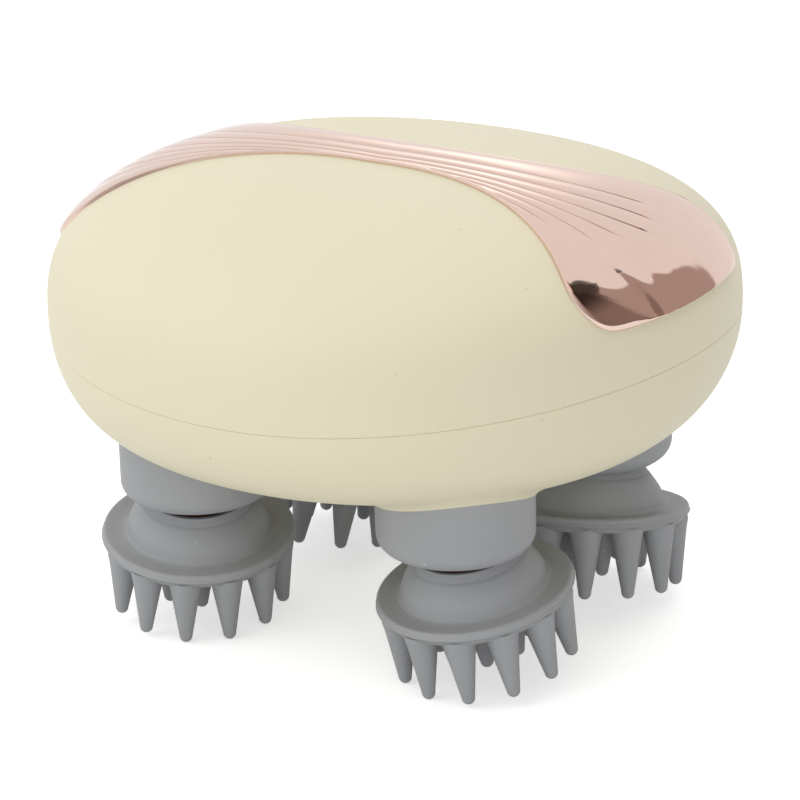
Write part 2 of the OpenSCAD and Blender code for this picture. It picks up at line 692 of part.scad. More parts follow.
module light_pipe() {
    color([0.9, 0.95, 1]) intersection() {
        y_rod(1.2, 10.5, side_board_face + 0.4, 60, button_z);
        case_solid(0);
    }
}
module charging_socket() {
    color(steel) union() {
        difference() {
            oblong_bar(8.94, 3.26, side_board_face, 50.6, port_z);
            oblong_bar(8.34, 2.66, side_board_face + 3, 51, port_z);
        }
        translate([-3.35, side_board_face + 2.9, mid + port_z - 0.35]) cube([6.7, 4, 0.7]);
        translate([-5.2, side_board_face, mid + port_z - 2.4]) cube([10.4, 2.6, 4.8]);
    }
}

// ---- gears and shafts ----
module central_gear() {
    color(acetal) difference() {
        union() {
            raise(lower_tier[0]) spur(low_central, gear_mod, lower_tier[1] + 0.6, 0);
            raise(upper_tier[0]) spur(central_teeth, gear_mod, upper_tier[1], 0);
        }
        raise(lower_tier[0] - 1) cylinder(r = 2, h = 12);
    }
}
module central_shaft() {
    color(steel) raise(tray[0] - 0.2) cylinder(r = 2, h = worm_z + 3.4 - tray[0]);
}
module worm_wheel() {
    color(brass) difference() {
        union() {
            raise(worm_z - 2) spur(wheel_teeth, worm_mod, 4, 90 + 180 / wheel_teeth, 0.55, 0.3);
            raise(worm_z - 4.6) cylinder(r = 4.5, h = 3);
        }
        raise(worm_z - 6) cylinder(r = 2, h = 12);
    }
}
module idler(k) {
    color(acetal) translate([idler_at(k)[0], idler_at(k)[1], mid + lower_tier[0]]) difference() {
        spur(idler_teeth, gear_mod, lower_tier[1], idler_turn(k));
        translate([0, 0, -1]) cylinder(r = 1.5 + fit, h = lower_tier[1] + 2);
    }
}
module drive_gear(k) {
    low = k == 1 || k == 2;
    tier = low ? lower_tier : upper_tier;
    color(acetal) over_shaft(k, 0) difference() {
        union() {
            translate([0, 0, tier[0]]) spur(low ? low_drive : drive_teeth, gear_mod, tier[1],
                low ? low_turn(k) : meshed(head_angle(k), central_teeth, 0, drive_teeth));
            translate([0, 0, lower_tier[0]]) cylinder(r = 5, h = cover[0] - lower_tier[0] - 0.2);
        }
        translate([0, 0, tray[0]]) cylinder(r = shaft_radius, h = 14);
    }
}
// Vertical shaft whose lower end carries the inclined pin
module crank(k) {
    web_depth = 24;
    color(steel) union() {
        over_shaft(k, -web_depth) cylinder(r = shaft_radius, h = web_depth + cover[0] + cover[1]);
        over_shaft(k, -web_depth) cylinder(r = 4.6, h = 1.7);
        at_head(k) translate([0, 0, -17.6]) cylinder(r = pin_radius, h = 17.6);
    }
}

// ---- heads ----
hub_radius = 7.9;
bearing_radius = 5;
module bearing(k) {
    color(steel) at_head(k) translate([0, 0, -17.5]) ring(bearing_radius, pin_radius + fit, 4);
}
module hub(k) {
    color(black) at_head(k) difference() {
        translate([0, 0, -19.2]) cylinder(r = hub_radius, h = 6.7);
        translate([0, 0, -17.5]) cylinder(r = bearing_radius, h = 4);
        translate([0, 0, -18.2]) cylinder(r = 3.4, h = 7);
    }
}
// Silicone head: collar, dished brim and rings of tapered fingers
module claw(k) {
    collar_top = 12.25;
    brim_low = brim_reach + 1.3;
    base = brim_reach + 2.6;
    outline = [
        [0, -base], [brim_radius - 1, -base], [brim_radius, -brim_low],
        [brim_radius + 0.05, -brim_reach - 0.5], [brim_radius - 0.4, -brim_reach],
        [brim_radius - 1.2, -brim_reach + 0.1], [brim_radius - 2.6, -brim_reach - 0.5],
        [12.6, -brim_reach - 0.3], [11.9, -brim_reach + 0.3], [10.3, -15.6], [9.4, -13.5],
        [9.05, -13.2], [8.6, -12.75], [8.5, -collar_top], [hub_radius + 0.1, -collar_top],
        [hub_radius + 0.1, -19.3], [0, -19.3]];
    color(silicone) at_head(k) union() {
        rotate_extrude() polygon(outline);
        for (i = [0:fingers - 1]) rotate([0, 0, finger_turn[k] + 360 / fingers * i])
            translate([finger_ring, 0, -base]) finger(base, finger_root, finger_splay);
        for (i = [0:inner_fingers - 1]) rotate([0, 0, finger_turn[k] + 360 / inner_fingers * i])
            translate([finger_ring * 0.52, 0, -base]) finger(base, inner_root, 0);
        translate([0, 0, -base]) finger(base, inner_root, 0);
    }
}
// Tapered finger that leans towards +X by "splay" at its tip
module finger(base, root, splay) {
    drop = finger_reach - finger_tip - base;
    length = norm([drop, splay]);
    rotate([0, -atan(splay / drop), 0]) translate([0, 0, -length]) {
        cylinder(r1 = finger_tip, r2 = root, h = length + 0.5, $fn = 24);
        sphere(r = finger_tip, $fn = 24);
    }
}

// ---- button and plug ----
module power_button() {
    color(cream) intersection() {
        union() {
            y_rod(button_radius, 0, button_back, 60, button_z);
            y_rod(button_radius + 1.1, 0, button_back, button_back + 0.9, button_z);
        }
        case_solid(-0.3);
    }
}
module port_plug() {
    color(silicone) union() {
        intersection() {
            oblong_bar(port_plate[0], port_plate[1], plate_back + 0.05, 60, port_z);
            case_solid(0);
        }
        oblong_bar(8.1, 2.5, 47.6, plate_back + 0.1, port_z);
    }
}

upper_shell();
lower_shell();
seam_gasket();
trim_strip();
boot(0);  // front_boot
boot(1);  // left_boot
boot(2);  // right_boot
boot(3);  // rear_boot
shaft_seals();
gear_tray();
gear_cover();
frame_screws();
case_screws();
shaft_bushes();
idler_axles();
motor_can();
motor_cap();
motor_clamp();
worm_bracket();
battery_cell();
battery_cradle();
battery_leads();
main_board();
board_parts();
board_screws();
side_board();
touch_switch();
light_pipe();
charging_socket();
central_gear();
central_shaft();
worm_wheel();
worm();
idler(1);  // left_idler
idler(2);  // right_idler
drive_gear(0);  // front_drive_gear
drive_gear(1);  // left_drive_gear
drive_gear(2);  // right_drive_gear
drive_gear(3);  // rear_drive_gear
crank(0);  // front_crank
crank(1);  // left_crank
crank(2);  // right_crank
crank(3);  // rear_crank
bearing(0);  // front_bearing
bearing(1);  // left_bearing
bearing(2);  // right_bearing
bearing(3);  // rear_bearing
hub(0);  // front_hub
hub(1);  // left_hub
hub(2);  // right_hub
hub(3);  // rear_hub
claw(0);  // front_claw
claw(1);  // left_claw
claw(2);  // right_claw
claw(3);  // rear_claw
power_button();
port_plug();
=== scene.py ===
"""Dresses the electric scalp massager: fine surfaces, finishes, light and camera."""
import json
import math

import bpy
import numpy as np
from mathutils import Matrix, Vector

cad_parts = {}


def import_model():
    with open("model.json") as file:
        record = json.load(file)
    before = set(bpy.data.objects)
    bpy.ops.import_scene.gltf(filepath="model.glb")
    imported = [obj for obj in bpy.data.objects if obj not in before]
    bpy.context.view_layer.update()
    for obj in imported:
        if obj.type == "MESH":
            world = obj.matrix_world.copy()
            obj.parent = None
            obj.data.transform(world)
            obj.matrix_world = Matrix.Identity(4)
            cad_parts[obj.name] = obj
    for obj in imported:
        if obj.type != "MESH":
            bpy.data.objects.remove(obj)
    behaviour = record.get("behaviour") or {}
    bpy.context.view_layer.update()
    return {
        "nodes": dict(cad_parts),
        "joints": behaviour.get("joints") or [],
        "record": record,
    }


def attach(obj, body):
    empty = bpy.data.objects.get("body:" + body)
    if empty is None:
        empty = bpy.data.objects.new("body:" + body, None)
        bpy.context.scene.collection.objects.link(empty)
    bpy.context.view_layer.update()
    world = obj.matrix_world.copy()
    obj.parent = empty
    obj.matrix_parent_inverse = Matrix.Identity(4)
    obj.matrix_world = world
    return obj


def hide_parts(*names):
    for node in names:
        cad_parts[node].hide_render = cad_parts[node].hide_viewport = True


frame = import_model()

MM = 0.001
JOINTS = {joint["name"]: joint for joint in frame["joints"]}
MID = JOINTS["central_spin"]["pos_m"][2]        # height of the case's widest level
HEADS = ("front", "left", "right", "rear")

# ---------------------------------------------------------------- the case's surface
HALF_LENGTH, HALF_WIDTH = 58 * MM, 56 * MM
DOME, BELLY = 25.3 * MM, 22.2 * MM              # height above and depth below MID
OUTLINE = 2.05                                  # exponent of the plan outline
DOME_X, DOME_Y = (2.47, 2.93), (1.70, 2.75)     # plan and height exponents to ends, sides
BELLY_X, BELLY_Y = (6.64, 1.73), (5.01, 2.77)
WALL = 2.2 * MM
PARTING_DEPTH, PARTING_RISE = 4.4 * MM, 4.6 * MM
UP = np.array([0.0, 0.0, MID])


def between(toward_end, toward_side, c):
    """Geometric blend of two exponents: c = cos(2u) is 1 at the ends and -1 at the sides."""
    return np.sqrt(toward_end * toward_side) * (toward_end / toward_side) ** (c / 2)


def signed_power(v, e):
    return np.sign(v) * np.abs(v) ** e


def skin(u, z, inset=0.0):
    """Case surface in direction u at height z from the widest level.

    Share s of the outline solves s^p + (|z|/h)^q = 1, and the outline is the
    superellipse (a cos(u)^(2/n), b sin(u)^(2/n))."""
    u, z = np.broadcast_arrays(u, z)
    c = np.cos(2 * u)
    up = z > 0
    p = np.where(up, between(DOME_X[0], DOME_Y[0], c), between(BELLY_X[0], BELLY_Y[0], c))
    q = np.where(up, between(DOME_X[1], DOME_Y[1], c), between(BELLY_X[1], BELLY_Y[1], c))
    h = np.where(up, DOME, BELLY) - inset
    s = np.maximum(0, 1 - np.minimum(1, np.abs(z) / h) ** q) ** (1 / p)
    x = (HALF_LENGTH - inset) * s * signed_power(np.cos(u), 2 / OUTLINE)
    y = (HALF_WIDTH - inset) * s * signed_power(np.sin(u), 2 / OUTLINE)
    return np.stack([x, y, z], axis=-1)


def plan_share(x, y):
    """Share of the outline's size at a plan point, and cos(2u) of its direction."""
    a, b = np.abs(x) / HALF_LENGTH, np.abs(y) / HALF_WIDTH
    s = (a ** OUTLINE + b ** OUTLINE) ** (1 / OUTLINE)
    return s, 2 * (a / np.maximum(s, 1e-6)) ** OUTLINE - 1


def over(x, y, height, toward_end, toward_side):
    """Height over a plan point: h (1 - s^p)^(1/q)."""
    s, c = plan_share(x, y)
    p = between(toward_end[0], toward_side[0], c)
    q = between(toward_end[1], toward_side[1], c)
    return height * (1 - np.minimum(s, 0.9999) ** p) ** (1 / q)


def dome_over(x, y):
    return over(x, y, DOME, DOME_X, DOME_Y)


def belly_under(x, y):
    return -over(x, y, BELLY, BELLY_X, BELLY_Y)


def parting(u):
    """Height of the parting line: lowest at the sides, risen at the two ends."""
    return -PARTING_DEPTH + PARTING_RISE * np.abs(np.cos(u)) ** (4 / OUTLINE)


def side_y(x, z):
    """Y of the case's +Y flank at x and z, by halving the range between inside and outside."""
    x, z = np.broadcast_arrays(x, z)
    low, high = np.zeros(x.shape), np.full(x.shape, HALF_WIDTH)
    for _ in range(40):
        y = (low + high) / 2
        level = np.where(z > 0, dome_over(x, y), -belly_under(x, y))
        inside = level > np.abs(z)
        low, high = np.where(inside, y, low), np.where(inside, high, y)
    return low


# ---------------------------------------------------------------- meshes
def band(rows, cols, wrap, first=0):
    """Quads between the rows of a grid of points, whose columns may join up."""
    i, j = np.meshgrid(np.arange(rows - 1), np.arange(cols if wrap else cols - 1), indexing="ij")
    a, b = i * cols + j, i * cols + (j + 1) % cols
    return (first + np.stack([a, b, b + cols, a + cols], axis=-1).reshape(-1, 4)).tolist()


def closed_loft(rings):
    """Points and faces of rings (m, n, 3) carried round, with both ends closed at a pole."""
    m, n = rings.shape[:2]
    points = np.concatenate([rings.reshape(-1, 3), [rings[0].mean(0)], [rings[-1].mean(0)]])
    j = np.arange(n)
    start = np.stack([(j + 1) % n, j, np.full(n, m * n)], axis=-1)
    last = (m - 1) * n
    end = np.stack([last + j, last + (j + 1) % n, np.full(n, m * n + 1)], axis=-1)
    return points, band(m, n, True) + start.tolist() + end.tolist()


def torus_loft(rings):
    """Points and faces of rings (m, n, 3) carried round, the last ring joining the first."""
    n = rings.shape[1]
    return rings.reshape(-1, 3), band(len(rings), n, True) + [
        [(len(rings) - 1) * n + k, (len(rings) - 1) * n + (k + 1) % n, (k + 1) % n, k]
        for k in range(n)]


def outward(points, faces):
    """Turns all faces round where the enclosed volume comes out negative."""
    total = 0.0
    for size in (3, 4):
        f = np.array([face for face in faces if len(face) == size])
        for k in range(1, size - 1) if len(f) else ():
            a, b, c = points[f[:, 0]], points[f[:, k]], points[f[:, k + 1]]
            total += (a * np.cross(b, c)).sum()
    return faces if total > 0 else [face[::-1] for face in faces]


def joined(parts):
    """One list of points and faces from several closed parts."""
    points, faces, first = [], [], 0
    for p, f in parts:
        points.append(p)
        faces += [[first + i for i in face] for face in outward(p, f)]
        first += len(p)
    return np.concatenate(points), faces


SHARP = 40                   # degrees from which an edge is left sharp


def piece(name, points, faces, material, sharp=SHARP):
    """A new object at the origin, smooth except over edges sharper than "sharp" degrees."""
    mesh = bpy.data.meshes.new(name)
    mesh.from_pydata(np.asarray(points).tolist(), [], outward(points, faces))
    mesh.shade_smooth()
    mesh.set_sharp_from_angle(angle=math.radians(sharp))
    mesh.materials.append(material)
    made = bpy.data.objects.new(name, mesh)
    bpy.context.scene.collection.objects.link(made)
    return made


def cut(target, cutters):
    """Takes closed cutters, as (points, faces), out of a piece and keeps its material."""
    points, faces = joined(cutters)
    tool = piece("cutter", points, faces, target.data.materials[0])
    change = target.modifiers.new("cut", "BOOLEAN")
    change.operation, change.solver, change.object = "DIFFERENCE", "MANIFOLD", tool
    shown = bpy.context.evaluated_depsgraph_get()
    mesh = bpy.data.meshes.new_from_object(target.evaluated_get(shown))
    target.modifiers.clear()
    old, target.data = target.data, mesh
    bpy.data.meshes.remove(old)
    bpy.data.objects.remove(tool)
    mesh.shade_smooth()
    mesh.set_sharp_from_angle(angle=math.radians(SHARP))
    return target


def dress(made, body, slot, *nodes):
    """Puts a piece on its body and hides the solids it stands for; its slot is not used."""
    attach(made, body)
    if nodes:
        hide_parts(*nodes)
    return made


def turn(n):
    return np.linspace(0, 2 * math.pi, n, endpoint=False)


def lathe(profile, n):
    """Rings of a profile of (radius, height) points turned about Z, as (m, n, 3)."""
    profile = np.asarray(profile, float)
    a = turn(n)
    r, z = profile[:, :1], profile[:, 1:]
    return np.stack([r * np.cos(a), r * np.sin(a), np.broadcast_to(z, (len(r), n))], axis=-1)


def arc(x, z, radius, start, stop, steps=8):
    """Points of an arc about (x, z), angles in degrees."""
    a = np.radians(np.linspace(start, stop, steps + 1))
    return np.stack([x + radius * np.cos(a), z + radius * np.sin(a)], axis=-1).tolist()


# ---------------------------------------------------------------- finishes
def group(name, inputs, outputs):
    """An empty node group with value inputs {name: default} and outputs {name: type}."""
    made = bpy.data.node_groups.new(name, "ShaderNodeTree")
    for label, value in inputs.items():
        made.interface.new_socket(label, in_out="INPUT", socket_type="NodeSocketFloat") \
            .default_value = value
    for label in outputs:
        made.interface.new_socket(label, in_out="OUTPUT", socket_type="NodeSocketFloat")
    return made, made.nodes.new("NodeGroupInput"), made.nodes.new("NodeGroupOutput")


def maths(tree, operation, a, b=None, clamp=False):
    """A Math node, whose operands are sockets or numbers."""
    node = tree.nodes.new("ShaderNodeMath")
    node.operation, node.use_clamp = operation, clamp
    for k, value in enumerate((a, b)):
        if isinstance(value, (int, float)):
            node.inputs[k].default_value = value
        elif value is not None:
            tree.links.new(value, node.inputs[k])
    return node.outputs[0]


def noise(tree, place, scale, detail=3.0, rough=0.5):
    """A Noise node at a scale given by a number or a socket."""
    node = tree.nodes.new("ShaderNodeTexNoise")
    node.inputs["Detail"].default_value = detail
    node.inputs["Roughness"].default_value = rough
    tree.links.new(place, node.inputs["Vector"])
    if isinstance(scale, (int, float)):
        node.inputs["Scale"].default_value = scale
    else:
        tree.links.new(scale, node.inputs["Scale"])
    return node.outputs["Fac"]


def moulded_grain():
    """Fine grain of a moulded surface, and slow cloudy variation of its colour."""
    made, start, end = group("moulded_grain", {"Grain": 3000.0, "Cloud": 30.0},
                             ("Height", "Mottle"))
    place = made.nodes.new("ShaderNodeTexCoord").outputs["Object"]
    fine = noise(made, place, start.outputs["Grain"], 2.0, 0.6)
    cloud = noise(made, place, start.outputs["Cloud"], 4.0, 0.55)
    made.links.new(fine, end.inputs["Height"])
    made.links.new(cloud, end.inputs["Mottle"])
    return made


def fine_dust():
    """Sparse specks of lint: 1 on a speck, from a fine noise above a threshold."""
    made, start, end = group("fine_dust", {"Scale": 900.0, "Amount": 0.25}, ("Specks",))
    place = made.nodes.new("ShaderNodeTexCoord").outputs["Object"]
    fine = noise(made, place, start.outputs["Scale"], 1.0, 0.4)
    limit = maths(made, "SUBTRACT", 1.0, start.outputs["Amount"])
    above = maths(made, "SUBTRACT", fine, limit)
    made.links.new(maths(made, "MULTIPLY", above, 12.0, clamp=True), end.inputs["Specks"])
    return made


def wiped_marks():
    """Long faint smears along X, as a cloth leaves on polished metal."""
    made, start, end = group("wiped_marks", {"Scale": 60.0, "Stretch": 6.0}, ("Smear",))
    place = made.nodes.new("ShaderNodeTexCoord").outputs["Object"]
    squeeze = made.nodes.new("ShaderNodeCombineXYZ")
    parts = made.nodes.new("ShaderNodeSeparateXYZ")
    made.links.new(place, parts.inputs[0])
    for axis in "XYZ":
        part = parts.outputs[axis]
        if axis != "X":
            part = maths(made, "MULTIPLY", part, start.outputs["Stretch"])
        made.links.new(part, squeeze.inputs[axis])
    made.links.new(noise(made, squeeze.outputs[0], start.outputs["Scale"], 5.0, 0.6),
                   end.inputs["Smear"])
    return made


GRAIN, DUST, SMEAR = moulded_grain(), fine_dust(), wiped_marks()


def use(tree, made, **values):
    """A group placed in a material with its own values."""
    node = tree.nodes.new("ShaderNodeGroup")
    node.node_tree = made
    for label, value in values.items():
        node.inputs[label].default_value = value
    return node


def blended(tree, factor, dark, light):
    """Colour between two constants by a factor socket."""
    node = tree.nodes.new("ShaderNodeMix")
    node.data_type = "RGBA"
    tree.links.new(factor, node.inputs["Factor"])
    node.inputs["A"].default_value = (*dark, 1)
    node.inputs["B"].default_value = (*light, 1)
    return node.outputs["Result"]


def spread(tree, factor, low, high):
    """Value between two numbers by a factor socket that stays mostly within 0.3 to 0.7."""
    node = tree.nodes.new("ShaderNodeMapRange")
    node.inputs["From Min"].default_value = 0.3
    node.inputs["From Max"].default_value = 0.7
    node.inputs["To Min"].default_value = low
    node.inputs["To Max"].default_value = high
    tree.links.new(factor, node.inputs["Value"])
    return node.outputs["Result"]


def finish(name, colour, rough, metallic=0.0, vary=0.03, grain=3000.0, cloud=30.0, depth=0.02,
           rough_vary=0.05, specular=0.5):
    """A plain finish with grain, cloudy colour and uneven gloss; returns the material."""
    made = bpy.data.materials.new(name)
    made.use_nodes = True
    tree = made.node_tree
    shader = tree.nodes["Principled BSDF"]
    shader.inputs["Metallic"].default_value = metallic
    shader.inputs["Specular IOR Level"].default_value = specular
    skin_of = use(tree, GRAIN, Grain=grain, Cloud=cloud)
    mottle = spread(tree, skin_of.outputs["Mottle"], 0.0, 1.0)
    dark = [c * (1 - vary) for c in colour]
    light = [min(1.0, c * (1 + vary)) for c in colour]
    tree.links.new(blended(tree, mottle, dark, light), shader.inputs["Base Color"])
    tree.links.new(spread(tree, skin_of.outputs["Mottle"], rough - rough_vary, rough + rough_vary),
                   shader.inputs["Roughness"])
    bump = tree.nodes.new("ShaderNodeBump")
    bump.inputs["Strength"].default_value = 1.0
    bump.inputs["Distance"].default_value = depth * MM
    tree.links.new(skin_of.outputs["Height"], bump.inputs["Height"])
    tree.links.new(bump.outputs["Normal"], shader.inputs["Normal"])
    return made


def tinted(made, mask, colour):
    """Lays a colour over a finish's own where a mask is 1."""
    tree = made.node_tree
    shader = tree.nodes["Principled BSDF"]
    below = shader.inputs["Base Color"].links[0].from_socket
    node = tree.nodes.new("ShaderNodeMix")
    node.data_type = "RGBA"
    tree.links.new(mask, node.inputs["Factor"])
    tree.links.new(below, node.inputs["A"])
    node.inputs["B"].default_value = (*colour, 1)
    tree.links.new(node.outputs["Result"], shader.inputs["Base Color"])
    return made


def dusty(made, colour, amount=0.22, scale=900.0):
    """Adds pale specks of lint to a finish's colour."""
    specks = use(made.node_tree, DUST, Scale=scale, Amount=amount).outputs["Specks"]
    return tinted(made, specks, colour)


def rose_plating():
    """Polished rose-gold plating, faintly smeared, with painted shade: brown in its fine grooves,
    to stand for light lost in them.
    """
    made = finish("rose_plating", (0.80, 0.61, 0.53), 0.07, metallic=1.0, vary=0.03, cloud=60.0,
                  depth=0.002, rough_vary=0.02)
    tree = made.node_tree
    shader = tree.nodes["Principled BSDF"]
    smear = use(tree, SMEAR).outputs["Smear"]
    tree.links.new(spread(tree, smear, 0.04, 0.08), shader.inputs["Roughness"])
    # Painted shade: a brown colour is laid over the plating where the groove mask is 1, standing
    # for light lost in the fine grooves.
    groove = tree.nodes.new("ShaderNodeAttribute")
    groove.attribute_name = "groove"
    return tinted(made, groove.outputs["Fac"], (0.36, 0.19, 0.13))


CREAM = (0.80, 0.742, 0.545)
GREY = (0.362, 0.371, 0.386)


def case_plastic():
    made = finish("case_plastic", CREAM, 0.46, vary=0.008, grain=5200.0, cloud=24.0, depth=0.006,
                  rough_vary=0.04, specular=0.4)
    return dusty(made, (0.62, 0.56, 0.42), amount=0.21, scale=520.0)


def grey_silicone():
    made = finish("grey_silicone", GREY, 0.55, vary=0.03, grain=4200.0, cloud=70.0, depth=0.012,
                  rough_vary=0.06, specular=0.45)
    return dusty(made, (0.55, 0.56, 0.57), amount=0.24, scale=1100.0)


def plug_silicone():
    return dusty(finish("plug_silicone", (0.74, 0.69, 0.53), 0.6, depth=0.012),
                 (0.85, 0.83, 0.76))


def light_pipe():
    made = finish("light_pipe", (0.90, 0.94, 1.0), 0.12, depth=0.002, rough_vary=0.03)
    shader = made.node_tree.nodes["Principled BSDF"]
    shader.inputs["Transmission Weight"].default_value = 0.9
    return made


FINISHES = {
    "case_plastic": case_plastic(),
    "rose_plating": rose_plating(),
    "grey_silicone": grey_silicone(),
    "plug_silicone": plug_silicone(),
    "seal_rubber": finish("seal_rubber", (0.03, 0.03, 0.03), 0.6, vary=0.1),
    "steel": finish("steel", (0.62, 0.62, 0.63), 0.28, metallic=1.0, cloud=90.0),
    "brass": finish("brass", (0.80, 0.60, 0.30), 0.3, metallic=1.0, vary=0.06, cloud=120.0),
    "gear_plastic": finish("gear_plastic", (0.82, 0.82, 0.78), 0.42, vary=0.02),
    "black_plastic": finish("black_plastic", (0.035, 0.035, 0.038), 0.45, vary=0.12),
    "brown_plastic": finish("brown_plastic", (0.17, 0.075, 0.04), 0.38, vary=0.1),
    "cell_wrap": finish("cell_wrap", (0.05, 0.16, 0.36), 0.3, vary=0.06),
    "lead_sleeve": finish("lead_sleeve", (0.42, 0.03, 0.02), 0.4, vary=0.05),
    "board": finish("board", (0.02, 0.13, 0.05), 0.35, vary=0.08, cloud=200.0),
    "light_pipe": light_pipe(),
}


def dress_solids():
    """Gives every solid of the frame the finish of its slot in the record."""
    for part in frame["record"]["subparts"]:
        for place in frame["nodes"][part["node"]].material_slots:
            place.material = FINISHES[part["material_slot"]]


# ---------------------------------------------------------------- case
COLUMNS = 384
LIP_GAP = 0.02 * MM          # half of the visible gap in the parting line
LIP_ROUND = 0.06 * MM        # rounding of the two lips
TONGUE = 0.45 * MM           # depth of the lip that covers the gasket's gap
GASKET_HALF = 0.15 * MM


def shell_rings(side, outer_rows, inner_rows):
    """Rings of one shell from its outer pole over the lip to its inner pole.

    Heights run from the parting line to the pole as sin(t), and the lip is a quarter round,
    a flat tongue and a step up to the gasket's face."""
    u = turn(COLUMNS)
    seam = parting(u)
    reach = DOME if side > 0 else BELLY

    def surface(rows, inset, start):
        t = np.linspace(0, math.pi / 2, rows + 1)[1:-1][:, None]
        z = start + (side * (reach - inset) - start) * np.sin(t)
        return skin(u[None, :], z, inset)

    a = np.linspace(0, math.pi / 2, 6)[:, None]
    toward = skin(u, seam, 1 * MM) - skin(u, seam, 0.0)
    toward = toward / np.linalg.norm(toward, axis=-1, keepdims=True)
    quarter = skin(u[None, :], seam + side * (LIP_GAP + LIP_ROUND * (1 - np.sin(a))), 0.0)
    quarter = quarter + toward[None] * (LIP_ROUND * (1 - np.cos(a)))[:, :, None]
    face = [skin(u, seam + side * LIP_GAP, TONGUE), skin(u, seam + side * GASKET_HALF, TONGUE),
            skin(u, seam + side * GASKET_HALF, WALL)]
    outer = surface(outer_rows, 0.0, seam + side * (LIP_GAP + LIP_ROUND))[::-1]
    inner = surface(inner_rows, WALL, seam + side * GASKET_HALF)
    return np.concatenate([outer, quarter, np.stack(face), inner]) + UP


def case_shell(name, side, outer_rows, inner_rows):
    rings = shell_rings(side, outer_rows, inner_rows)
    points, faces = closed_loft(rings)
    reach = DOME if side > 0 else BELLY
    points[-2] = UP + [0, 0, side * reach]
    points[-1] = UP + [0, 0, side * (reach - WALL)]
    return piece(name, points, faces, FINISHES["case_plastic"])


def flank_rings(x, z, outline, depths):
    """Rings round a point of the +Y flank: outline(angle, spread) in X and Z, at each depth
    under the surface, as (spread, depth) pairs."""
    a = turn(96)
    rings = []
    for grow, depth in depths:
        dx, dz = outline(a, grow)
        rings.append(np.stack([x + dx, side_y(x + dx, z + dz) - depth, MID + z + dz], axis=-1))
    return np.stack(rings)


def round_outline(radius):
    """Circle of a radius, spread outwards by "grow"."""
    return lambda a, grow: ((radius + grow) * np.cos(a), (radius + grow) * np.sin(a))


def oblong_outline(width, height):
    """Oblong with round ends, spread outwards by "grow"."""
    flat = (width - height) / 2

    def outline(a, grow):
        r = height / 2 + grow
        dx = r * np.cos(a)
        return dx + flat * np.clip(np.cos(a) * 6, -1, 1), r * np.sin(a)
    return outline


BUTTON = (0.0, 7 * MM, 5.5 * MM)                # x, height and radius
PIPE = (10.5 * MM, 7 * MM, 1.2 * MM)
PORT = (0.0, -10.6 * MM, 13 * MM, 7 * MM)       # x, height, width and height of its plate
CHAMFER = 0.3 * MM


def chamfered_hole(x, z, outline, depth):
    """Cutter with a flared mouth, from above the flank to "depth" below it."""
    return closed_loft(flank_rings(x, z, outline, [
        (0.0, depth), (0.0, CHAMFER), (CHAMFER, 0.0), (2 * CHAMFER, -CHAMFER),
        (2 * CHAMFER, -2 * MM)]))


SEAT = -18.7 * MM            # level of the boots' upper faces
BOOT = 13.0 * MM             # outer radius of a boot
HEAD_AT = {h: np.array(JOINTS[h + "_head_spin"]["pos_m"]) for h in HEADS}
SCREWS = np.array([(44, 0), (-44, 0), (18, 43), (-18, 43), (0, -44)]) * MM


def upper_shell():
    made = case_shell("dome", 1, 120, 28)
    x, z, radius = BUTTON
    px, pz, pr = PIPE
    cut(made, [chamfered_hole(x, z, round_outline(radius + 0.15 * MM), 9 * MM),
               chamfered_hole(px, pz, round_outline(pr + 0.06 * MM), 9 * MM)])
    return dress(made, "case", "case_plastic", "upper_shell")


def screw_recess(x, y):
    """Counterbore with a small countersink, from below the belly to the screw's seat."""
    level = belly_under(x, y)
    seat = belly_under(x * (1 + 3.6 * MM / math.hypot(x, y)),
                       y * (1 + 3.6 * MM / math.hypot(x, y))) + 3.6 * MM
    rings = lathe([(1.5 * MM, level + 12 * MM), (1.5 * MM, seat), (2.6 * MM, seat),
                   (2.6 * MM, level + 0.4 * MM), (3.4 * MM, level - 0.4 * MM),
                   (3.4 * MM, level - 3 * MM)], 64) + [x, y, 0] + UP
    return closed_loft(rings)


def lower_shell():
    made = case_shell("belly", -1, 110, 24)
    cutters = [screw_recess(x, y) for x, y in SCREWS]
    for x, y, _ in HEAD_AT.values():
        rings = lathe([(BOOT + 0.12 * MM, SEAT), (BOOT + 0.12 * MM, SEAT - 6 * MM)], 128)
        cutters.append(closed_loft(rings + [x, y, 0] + UP))
    x, z, width, height = PORT
    grow = 0.15 * MM
    cutters.append(chamfered_hole(x, z, oblong_outline(width + 2 * grow, height + 2 * grow),
                                  1.4 * MM))
    cutters.append(closed_loft(flank_rings(x, z, oblong_outline(9.4 * MM, 3.8 * MM),
                                           [(0, 9 * MM), (0, 0.5 * MM)])))
    cut(made, cutters)
    return dress(made, "case", "case_plastic", "lower_shell")


